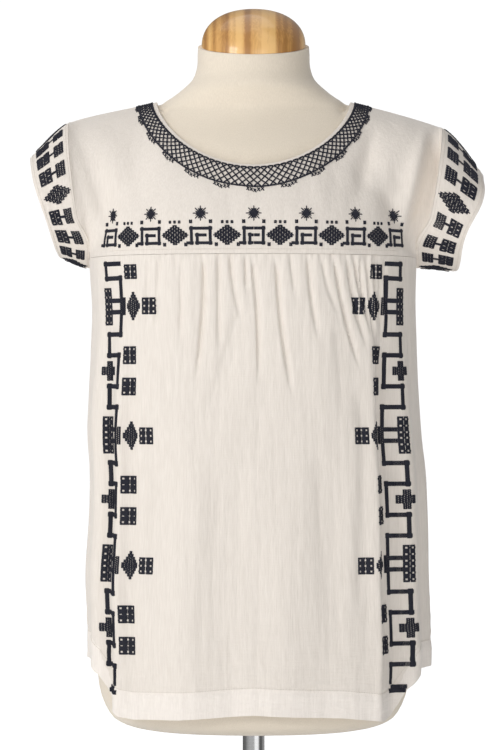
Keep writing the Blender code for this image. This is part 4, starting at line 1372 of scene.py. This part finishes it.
def torso(cloth, finish):
    """The torso, smooth where it shows and clear of the cloth where it doesn't."""
    sections = fine_sections()
    rings = [torso_ring(*row) for row in sections]
    heights = [row[0] for row in sections]
    under = [i for i, at in enumerate(heights) if CLOTH_RESTS_FROM < at < NECK_TILT_FROM]
    for index in under:
        rings[index] = [fit_inside(point, cloth, CLOTH_CLEARANCE) for point in rings[index]]
    for _ in range(EASE_PASSES):
        ease_faces(rings[under[0] : under[-1] + 1], cloth)
    bore = POLE_RADIUS + POLE_CLEARANCE
    socket = ((bore, SOCKET_DEPTH), (bore, 0.0), (UNDERSIDE_RADIUS, 0.0))
    return stacked("smooth_torso", [circle(*ring, TORSO_SEGMENTS) for ring in socket] + rings, finish)


def neck_cap(finish):
    rings = []
    low = TORSO_SECTIONS[-1][0] + SEAM
    for step in range(CAP_RINGS + 1):
        angle = math.pi / 2 * step / (CAP_RINGS + CAP_TOP)
        rise, radius = oval(CAP_HEIGHT, CAP_RADIUS, CAP_ROUNDNESS, angle)
        ring = circle(radius, low + rise, CAP_SEGMENTS)
        rings.append([Vector((point.x, point.y, point.z + NECK_TILT * point.y)) for point in ring])
    return stacked("smooth_cap", rings, finish)


def turned_object(name, profile, finish):
    """A round object from the radius and height of each corner, above the surface below it."""
    rings = [circle(radius, height - TORSO_BOTTOM, ROUND_SEGMENTS) for radius, height in profile]
    return stacked(name, rings, finish)


def between(first, last, share):
    return mix(first[0], last[0], share), mix(first[1], last[1], share)


def levels(middle, height):
    """The rows of stitches in a shape: the height of each, and its share of the way up."""
    count = max(round(height / PITCH), 1)
    for step in range(count):
        share = (step + 0.5) / count
        yield middle + height * (share - 0.5), share


class Sewing:
    """Collects raised stitches, each a thin tube that dips into the cloth at both ends.

    place_on gives the cloth's point and normal at a flat place (u, v), or None.
    """

    def __init__(self, place_on=None):
        self.place_on = place_on
        self.points = []
        self.faces = []

    def stitch(self, first, last, radius=THREAD):
        path = []
        for share, rise in STITCH_PROFILE:
            found = self.place_on(*between(first, last, share))
            if found is None:
                return
            point, normal = found
            path.append((point + normal * (rise * radius), normal))
        self.tube(path, radius)

    def tube(self, path, radius):
        along = path[-1][0] - path[0][0]
        if along.length < SHORTEST_STITCH:
            return
        along.normalize()
        start, size = len(self.points), STITCH_SIDES
        for point, normal in path:
            side = along.cross(normal).normalized()
            up = side.cross(along)
            for index in range(size):
                angle = 2 * math.pi * index / size
                self.points.append(point + (side * math.cos(angle) + up * math.sin(angle)) * radius)
        last = start + (len(path) - 1) * size
        for low in range(start, last, size):
            self.faces += ring_faces(low, low + size, size)
        self.faces.append([start + index for index in reversed(range(size))])
        self.faces.append([last + index for index in range(size)])

    def line(self, corners, stitch, radius):
        """A running line of back stitches."""
        for first, last in zip(corners, corners[1:]):
            count = max(round(math.dist(first, last) / stitch), 1)
            for index in range(count):
                start = between(first, last, index / count)
                self.stitch(start, between(first, last, (index + BACK_STITCH) / count), radius)

    def band(self, corners, width):
        """A thick line: short stitches side by side across it."""
        for first, last in zip(corners, corners[1:]):
            length = math.dist(first, last)
            along = ((last[0] - first[0]) / length, (last[1] - first[1]) / length)
            across = (-along[1] * width / 2, along[0] * width / 2)
            count = max(round((length + width) / PITCH), 1)
            for index in range(count + 1):
                reach = mix(-width / 2, length + width / 2, index / count)
                u, v = first[0] + along[0] * reach, first[1] + along[1] * reach
                self.stitch((u - across[0], v - across[1]), (u + across[0], v + across[1]))

    def fill(self, rows):
        """A filled shape from rows of (height, left, right), in stitches laid like bricks."""
        for index, (height, left, right) in enumerate(rows):
            width = right - left
            count = max(round(width / FILL_STITCH), 1)
            odd = index % 2
            steps = range(1, count + odd)
            cuts = [left, *(left + width * (step - 0.5 * odd) / count for step in steps), right]
            for a, b in zip(cuts, cuts[1:]):
                self.stitch((a + FILL_GAP, height), (b - FILL_GAP, height))

    def block(self, u, v, width, height):
        self.fill([(level, u - width / 2, u + width / 2) for level, _ in levels(v, height)])

    def lozenge(self, u, v, width, height, steps=LOZENGE_STEPS):
        """A filled lozenge with stepped sides."""
        rows = []
        for level, share in levels(v, height):
            tall = 1 - abs(2 * share - 1)
            reach = width / 2 * min((math.floor(tall * steps) + 1) / (steps + 0.5), 1.0)
            rows.append((level, u - reach, u + reach))
        self.fill(rows)

    def cross(self, u, v, size):
        """A filled cross with square arms."""
        rows = []
        for level, share in levels(v, size):
            reach = size / 2 * (1.0 if abs(share - 0.5) < CROSS_ARM / 2 else CROSS_ARM)
            rows.append((level, u - reach, u + reach))
        self.fill(rows)

    def dotted(self, u, v, width, height, across, up):
        """A filled block with small open dots in rows."""
        left, right = u - width / 2, u + width / 2
        cell = width / across
        hole = cell * DOT_SHARE / 2
        gaps = [left + cell * (index + 0.5) for index in range(across)]
        edges = [left] + [gap + way * hole for gap in gaps for way in (-1, 1)] + [right]
        for level, share in levels(v, height):
            in_cell = share * up % 1.0
            solid = abs(in_cell - 0.5) > DOT_SHARE / 2
            for a, b in ((left, u), (u, right)) if solid else zip(edges[::2], edges[1::2]):
                self.stitch((a, level), (b, level))

    def star(self, u, v, size):
        """An eight pointed star of crossing stitches."""
        for index in range(8):
            angle = math.pi * index / 8
            reach = size / 2 * (1.0 if index % 2 == 0 else STAR_SHORT)
            dx, dy = reach * math.cos(angle), reach * math.sin(angle)
            self.stitch((u - dx, v - dy), (u, v))
            self.stitch((u, v), (u + dx, v + dy))

    def motifs(self, table, u, v, side=1):
        """Shapes from a table of kinds, places from (u, v) and sizes."""
        kinds = {
            "block": self.block,
            "lozenge": self.lozenge,
            "cross": self.cross,
            "dotted": self.dotted,
            "star": self.star,
        }
        for kind, out, up, *sizes in table:
            kinds[kind](u + side * out, v + up, *sizes)

    def finish(self, name, finish):
        return add_object(name, self.points, self.faces, finish)


def cast_on(tree, guess, way, reach):
    """The cloth's point and normal under or over a guess, looked for from outside, or None."""
    hit, normal, _, _ = tree.ray_cast(guess + way * reach, -way, 2 * reach)
    if hit is None:
        return None
    return hit, normal if normal.dot(way) > 0 else -normal


def body_mapper(tree, facing=-1):
    """Gives the cloth's surface at a place along the girth and a height."""

    def place_on(place, height):
        way = ring_normal(height, place, facing)
        return cast_on(tree, ring_point(height, place, facing), way, CAST)

    return place_on


def trellis_width(turn):
    """The trellis is widest at the front centre and narrowest over the shoulders."""
    middle = TRELLIS_FRONT if math.cos(turn) > 0 else TRELLIS_BACK
    return mix(TRELLIS_SHOULDER, middle, math.cos(turn) ** 2)


def neck_mapper(front, back):
    """Gives the yokes' surface at a turn of the neckline and a distance from it."""

    def place_on(turn, distance):
        way = neck_direction(turn)
        distance = TRELLIS[0] + (distance - TRELLIS[0]) * trellis_width(turn)
        guess = neck_point(turn) + way * distance
        tree = front if math.cos(turn) > 0 else back
        point, normal, _, _ = tree.find_nearest(guess)
        if normal.dot(neck_normal(turn)) < 0:
            normal = -normal
        return point, normal

    return place_on


def sleeve_mapper(tree, side):
    """Gives a sleeve's surface at a length round it from its top and a share of the way out.

    The length is negative in front.
    """

    def place_on(around, share):
        turn = abs(around) / SLEEVE_HALF_ROUND * math.pi
        facing = -1 if around < 0 else 1
        start = armhole_point(side, turn, facing)
        guess = start.lerp(cuff_point(side_row(side), turn, facing), share)
        way = Vector((0.0, facing * math.sin(turn), math.cos(turn)))
        return cast_on(tree, guess, way, SLEEVE_CAST)

    return place_on


def neck_turns(pitch):
    """Turns of the neckline that are evenly spaced along the trellis, one at the front centre."""
    middle = sum(TRELLIS) / 2
    turns = even(0.0, 2 * math.pi, NECK_STEPS)
    line = [neck_point(turn) + neck_direction(turn) * middle for turn in turns]
    lengths = [0.0]
    for first, second in zip(line, line[1:]):
        lengths.append(lengths[-1] + (second - first).length)
    count = round(lengths[-1] / pitch)
    table = list(zip(lengths, turns))
    return [look_up(table, lengths[-1] * index / count)[0] for index in range(count)]


def sew_arc(sewing, first, last, radius=THREAD):
    """One stitch in turns of the neckline, taking the short way past the full turn."""
    gap = (last[0] - first[0] + math.pi) % (2 * math.pi) - math.pi
    sewing.stitch(first, (first[0] + gap, last[1]), radius)


def sew_neck(place_on, finish):
    """The trellis round the neckline: crossing threads between two edge lines, with tufts."""
    sewing = Sewing(place_on)
    turns = neck_turns(TRELLIS_PITCH)
    count = len(turns)
    inner, outer = TRELLIS
    crossing, edge = TRELLIS_THREAD
    for index in range(count):
        for step in range(TRELLIS_CELLS):
            low = mix(inner, outer, step / TRELLIS_CELLS)
            high = mix(inner, outer, (step + 1) / TRELLIS_CELLS)
            for shift in (-1, 1):
                first = turns[(index + shift * step) % count]
                second = turns[(index + shift * (step + 1)) % count]
                sew_arc(sewing, (first, low), (second, high), crossing)
        for distance in (inner, outer):
            after = (turns[(index + 1) % count], distance)
            sew_arc(sewing, (turns[index], distance), after, edge)
    for turn in neck_turns(TUFT_PITCH):
        for place, height, slant in TUFT:
            left = turn + place / TRELLIS_RADIUS
            right = left + slant / TRELLIS_RADIUS
            foot = outer + height
            for start, end, (low, high) in zip((left, right), (right, left), TUFT_RISES):
                sew_arc(sewing, (start, foot + low), (end, foot + high))
    return sewing.finish("sewn_neck_trellis", finish)


def sew_yoke(place_on, finish):
    """The border along the yoke: stepped lozenges, keys between them and stars over these."""
    sewing = Sewing(place_on)
    for index in range(-KEYS, KEYS):
        sewing.motifs(BETWEEN_KEYS, (index + 0.5) * YOKE_PERIOD, YOKE_BORDER)
    for index in range(-KEYS, KEYS + 1):
        place = index * YOKE_PERIOD
        sewing.band([(dx + place, YOKE_BORDER + dy) for dx, dy in KEY], KEY_WIDTH)
        sewing.motifs(OVER_KEYS, place, YOKE_BORDER)
    return sewing.finish("sewn_yoke_border", finish)


def sew_side(place_on, side, name, finish):
    """The upright band down one side of the front panel."""
    sewing = Sewing(place_on)
    for level in BAND_LEVELS:
        shown = [motif for motif in BAND_MOTIFS if BAND_LOW <= level + motif[2] <= BAND_TOP]
        sewing.motifs(shown, side * BAND_MIDDLE, level, side)
        for width, corners in BAND_LINES:
            path = []
            for out, up in corners:
                height = min(max(level + up, BAND_LOW), BAND_TOP)
                point = (side * (BAND_MIDDLE + out), height)
                if not path or point != path[-1]:
                    path.append(point)
            sewing.band(path, width)
    sewing.motifs((BAND_HEAD,), side * BAND_MIDDLE, BAND_LEVELS[0], side)
    return sewing.finish(name, finish)


def sew_sleeve(place_on, name, finish):
    """Two columns round a sleeve: dotted squares by the cuff and bars by the armhole."""
    sewing = Sewing(lambda out, around: place_on(around, out / SLEEVE_OUT))
    half_count = math.ceil(SLEEVE_HALF_ROUND / SLEEVE_PITCH)
    first, last, width = SLEEVE_BAR
    for index in range(-half_count, half_count):
        around = (index + 0.5) * SLEEVE_PITCH
        if abs(around) > SLEEVE_HALF_ROUND - SLEEVE_BARE:
            continue
        if index % 4 == 3:
            sewing.motifs(SLEEVE_LOZENGE, 0, around)
            continue
        sewing.motifs(SLEEVE_BLOCKS, 0, around)
        sewing.band([(first, around), (last, around)], width)
    return sewing.finish(name, finish)


def hem_path(hem):
    """Along a hem's upper edge, as places and heights."""
    places = even(-HEM_STITCH_REACH, HEM_STITCH_REACH, HEM_STITCH_STEPS)
    return [(place, look_up(hem, place / HALF_GIRTH)[0] + HEM_DEPTH) for place in places]


def sew_plain(parts, finish):
    """The plain stitching of the hems, the cuffs and the yoke's seams, in cotton."""
    sewing = Sewing()
    over_seam = YOKE_SEAM + TOPSTITCH
    for facing, word, hem in ((-1, "front", FRONT_HEM), (1, "back", BACK_HEM)):
        sewing.place_on = body_mapper(parts[word + "_panel"]["outer"], facing)
        sewing.line(hem_path(hem), PLAIN_STITCH, PLAIN_THREAD)
        sewing.place_on = body_mapper(parts[word + "_yoke"]["outer"], facing)
        path = [(side * YOKE_STITCH_REACH, over_seam) for side in (-1, 1)]
        sewing.line(path, PLAIN_STITCH, PLAIN_THREAD)
    for word, side in HANDS.items():
        sewing.place_on = sleeve_mapper(parts["sleeve_" + word]["outer"], side)
        for facing in (-1, 1):
            for share in CUFF_STITCHES:
                ends = (CUFF_STITCH_END, SLEEVE_HALF_ROUND - CUFF_STITCH_END)
                path = [(facing * around, share) for around in ends]
                sewing.line(path, PLAIN_STITCH, PLAIN_THREAD)
    return sewing.finish("sewn_plain", finish)


class Nodes:
    """The nodes of a material or of the world, and the one that shades it."""

    def __init__(self, tree, shader):
        self.nodes, self.links = tree.nodes, tree.links
        self.shader = self.nodes[shader]

    def put(self, node, inputs):
        """Sets a node's inputs, each to a value or to another node's output."""
        for name, value in inputs.items():
            if isinstance(value, bpy.types.NodeSocket):
                self.links.new(value, node.inputs[name])
            else:
                node.inputs[name].default_value = value

    def new(self, kind, inputs):
        made = self.nodes.new("ShaderNode" + kind)
        self.put(made, inputs)
        return made

    def shade(self, inputs):
        self.put(self.shader, inputs)

    def place(self, kind):
        return self.new("TexCoord", {}).outputs[kind]

    def grain(self, scale, detail=2.0):
        """Noise in the object's own space, with a scale for each axis."""
        vector = self.new("Mapping", {"Vector": self.place("Object"), "Scale": scale}).outputs[0]
        made = self.new("TexNoise", {"Vector": vector, "Scale": 1.0, "Detail": detail})
        return made.outputs["Fac"]

    def around(self, kind):
        """The direction round the upright axis, from 0 to 1."""
        made = self.new("TexGradient", {"Vector": self.place(kind)})
        made.gradient_type = "RADIAL"
        return made.outputs["Fac"]

    def ramp(self, value, stops):
        made = self.nodes.new("ShaderNodeValToRGB")
        elements = made.color_ramp.elements
        while len(elements) < len(stops):
            elements.new(0.5)
        for element, (place, colour) in zip(elements, stops):
            element.position = place
            element.color = (*colour, 1.0)
        self.put(made, {"Fac": value})
        return made.outputs["Color"]

    def greys(self, value, table):
        return self.ramp(value, [(place, (tone, tone, tone)) for place, tone in table])

    def bump(self, *layers):
        """Raises the surface by layers of height, strength and distance, one over another."""
        under = {}
        for height, strength, distance in layers:
            inputs = {"Height": height, "Strength": strength, "Distance": distance}
            under = {"Normal": self.new("Bump", {**inputs, **under}).outputs["Normal"]}
        self.shade(under)

    def calculate(self, operation, *values):
        made = self.new("Math", dict(enumerate(values)))
        made.operation = operation
        return made.outputs[0]

    def picked(self, factor, first, second):
        """The first colour, or the second where the factor is one."""
        made = self.new("Mix", {})
        made.data_type = "RGBA"
        self.put(made, {"Factor": factor, "A": first, "B": second})
        return made.outputs["Result"]


def new_material(name):
    made = bpy.data.materials.new(name)
    made.use_nodes = True
    return made, Nodes(made.node_tree, "Principled BSDF")


def cotton_gauze(name, tones):
    """An off-white cotton gauze: crossing yarns, upright slubs, and soft crinkles."""
    made, nodes = new_material(name)
    slub = nodes.grain((900, 900, 60), 3.0)
    weft = nodes.grain((70, 70, 1300))
    crinkle = nodes.grain((150, 150, 22), 4.0)
    level = nodes.grain((28, 28, 190), 3.0)
    nodes.shade(
        {
            "Base Color": nodes.ramp(slub, ((0.3, tones[0]), (0.7, tones[1]))),
            "Roughness": 0.88,
            "Sheen Weight": 0.25,
            "Sheen Roughness": 0.5,
            "Specular IOR Level": 0.2,
        }
    )
    height = nodes.new("SeparateXYZ", {"Vector": nodes.place("Object")}).outputs["Z"]
    low = nodes.new("MapRange", {"Value": height, **LEVEL_CRINKLES}).outputs["Result"]
    near_hem = nodes.calculate("MULTIPLY", level, low)
    nodes.bump(
        (near_hem, 0.7, 0.0016), (crinkle, 0.85, 0.0010), (slub, 0.3, 0.0003), (weft, 0.3, 0.0003)
    )
    return made


def thread(name, low, high, roughness, specular):
    made, nodes = new_material(name)
    tone = nodes.ramp(nodes.grain((1500, 1500, 1500)), ((0.3, low), (0.7, high)))
    nodes.shade({"Base Color": tone, "Roughness": roughness, "Specular IOR Level": specular})
    return made


def linen_jersey():
    made, nodes = new_material("linen_jersey")
    fine = nodes.grain((1400, 1400, 260))
    broad = nodes.grain((30, 30, 30), 3.0)
    tone = nodes.ramp(fine, JERSEY_TONES)
    nodes.shade({"Base Color": tone, "Roughness": 0.9, "Sheen Weight": 0.3})
    nodes.bump((broad, 0.15, 0.001), (fine, 0.5, 0.0004))
    return made


def laminated_wood():
    """Lacquered wood, glued from upright staves of changing tone."""
    made, nodes = new_material("laminated_wood")
    stave = nodes.grain((170, 2.0, 0.6), 0.0)
    grain = nodes.grain((700, 500, 18), 4.0)
    tone = nodes.ramp(nodes.calculate("MULTIPLY_ADD", grain, 0.3, stave), WOOD_TONES)
    nodes.shade(
        {"Base Color": tone, "Roughness": 0.38, "Coat Weight": 0.5, "Coat Roughness": 0.04}
    )
    nodes.bump((grain, 0.06, 0.0003))
    return made


def bright_metal(name, roughness, tone):
    made, nodes = new_material(name)
    low = tone * 0.94
    stops = ((0.3, (low, low, low)), (0.7, (tone, tone, tone * 1.01)))
    streak = nodes.ramp(nodes.grain((60, 60, 900)), stops)
    nodes.shade({"Base Color": streak, "Metallic": 1.0, "Roughness": roughness})
    return made


def floor_material():
    """Plain and pale, and glowing though it is no lamp: its glow lights the cloth and looks white,
    and what is smooth sees in it a painted reflection of the studio's tones by direction.
    """
    made, nodes = new_material("floor")
    path = nodes.new("LightPath", {}).outputs
    glossy = path["Is Glossy Ray"]
    either = nodes.calculate("MAXIMUM", path["Is Camera Ray"], glossy)
    shiny = nodes.greys(nodes.around("Object"), SHINE_TONES)
    low, high = FLOOR_GLOW
    # Painted light: the floor's own glow, white to the cloth and the camera, and the studio's tones
    # as a painted reflection for what is smooth.
    nodes.shade(
        {
            "Base Color": nodes.picked(glossy, *FLOOR_TONES),
            "Roughness": 0.9,
            "Emission Color": nodes.picked(glossy, WHITE, shiny),
            "Emission Strength": nodes.calculate("MULTIPLY_ADD", either, high - low, low),
        }
    )
    return made


def add_camera(scene):
    lens = bpy.data.cameras.new("camera")
    lens.sensor_fit = "VERTICAL"
    lens.sensor_height = 36.0
    lens.lens = CAMERA_LENS
    camera = bpy.data.objects.new("camera", lens)
    camera.location = CAMERA_PLACE
    camera.rotation_euler = (math.pi / 2, 0.0, 0.0)
    scene.collection.objects.link(camera)
    scene.camera = camera


def add_light(scene, name, place, aim, size, power):
    data = bpy.data.lights.new(name, "AREA")
    data.shape = "RECTANGLE"
    data.size, data.size_y = size
    data.energy = power
    made = bpy.data.objects.new(name, data)
    made.location = place
    made.rotation_euler = (Vector(aim) - Vector(place)).to_track_quat("-Z", "Y").to_euler()
    scene.collection.objects.link(made)


def add_world(scene):
    """White to the camera, the room's tones to the cloth, and its shine to what is smooth."""
    world = bpy.data.worlds.new("studio")
    world.use_nodes = True
    nodes = Nodes(world.node_tree, "Background")
    path = nodes.new("LightPath", {}).outputs
    around = nodes.around("Generated")
    room, shiny = nodes.greys(around, ROOM_TONES), nodes.greys(around, SHINE_TONES)
    unseen = nodes.picked(path["Is Glossy Ray"], room, shiny)
    shown = nodes.picked(path["Is Camera Ray"], unseen, WHITE)
    nodes.shade({"Color": shown, "Strength": WORLD_STRENGTH})
    scene.world = world


def add_floor(scene):
    mesh = bpy.data.meshes.new("floor")
    signs = ((-1, -1), (1, -1), (1, 1), (-1, 1))
    corners = [(x * FLOOR_REACH, y * FLOOR_REACH, FLOOR_HEIGHT) for x, y in signs]
    mesh.from_pydata(corners, [], [(0, 1, 2, 3)])
    mesh.materials.append(floor_material())
    floor = bpy.data.objects.new("floor", mesh)
    scene.collection.objects.link(floor)


def studio():
    """The camera of the photo, soft light from the front left, and a plain pale floor."""
    scene = bpy.context.scene
    scene.view_settings.view_transform = "Standard"
    add_camera(scene)
    for light in LIGHTS:
        add_light(scene, *light)
    add_world(scene)
    add_floor(scene)


def sew(parts):
    """All the thread work, by name."""
    dark = thread("embroidery_thread", *DARK_TONES, 0.65, 0.3)
    neck = neck_mapper(parts["front_yoke"]["outer"], parts["back_yoke"]["outer"])
    sewn = {"neck": sew_neck(neck, dark)}
    sewn["yoke"] = sew_yoke(body_mapper(parts["front_yoke"]["outer"]), dark)
    panel = body_mapper(parts["front_panel"]["outer"])
    for word, side in HANDS.items():
        sewn["band_" + word] = sew_side(panel, side, "sewn_band_" + word, dark)
        sleeve = sleeve_mapper(parts["sleeve_" + word]["outer"], side)
        sewn["sleeve_" + word] = sew_sleeve(sleeve, "sewn_sleeve_" + word, dark)
    sewn["plain"] = sew_plain(parts, thread("cotton_thread", *PALE_TONES, 0.8, 0.5))
    return sewn


def dress():
    """Builds every piece and hides the imported solids that they take the place of."""
    gauze = cotton_gauze("cotton_gauze", GAUZE_TONES)
    parts = blouse(gauze, cotton_gauze("cotton_gauze_hem", HEM_TONES))
    bound = binding(gauze)
    tree = inner_tree([(part["points"], part["inner"]) for part in parts.values()] + [neck_guide()])
    form = torso(tree, linen_jersey())
    cap = neck_cap(laminated_wood())
    pole = turned_object("smooth_pole", POLE_PROFILE, bright_metal("pole_chrome", 0.14, 0.8))
    foot = turned_object("smooth_foot", FOOT_PROFILE, bright_metal("foot_metal", 0.3, 0.72))
    others = (
        (bound, "neck_binding", "cotton"),
        (form, "form_torso", "jersey"),
        (cap, "form_neck_cap", "lacquered_wood"),
        (pole, "stand_pole", "pole_chrome"),
        (foot, "stand_base", "foot_metal"),
    )
    for name, part in parts.items():
        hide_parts(name)
    for piece, node, slot in others:
        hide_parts(node)
    return parts, bound, sew(parts)


studio()
parts, bound, sewn = dress()
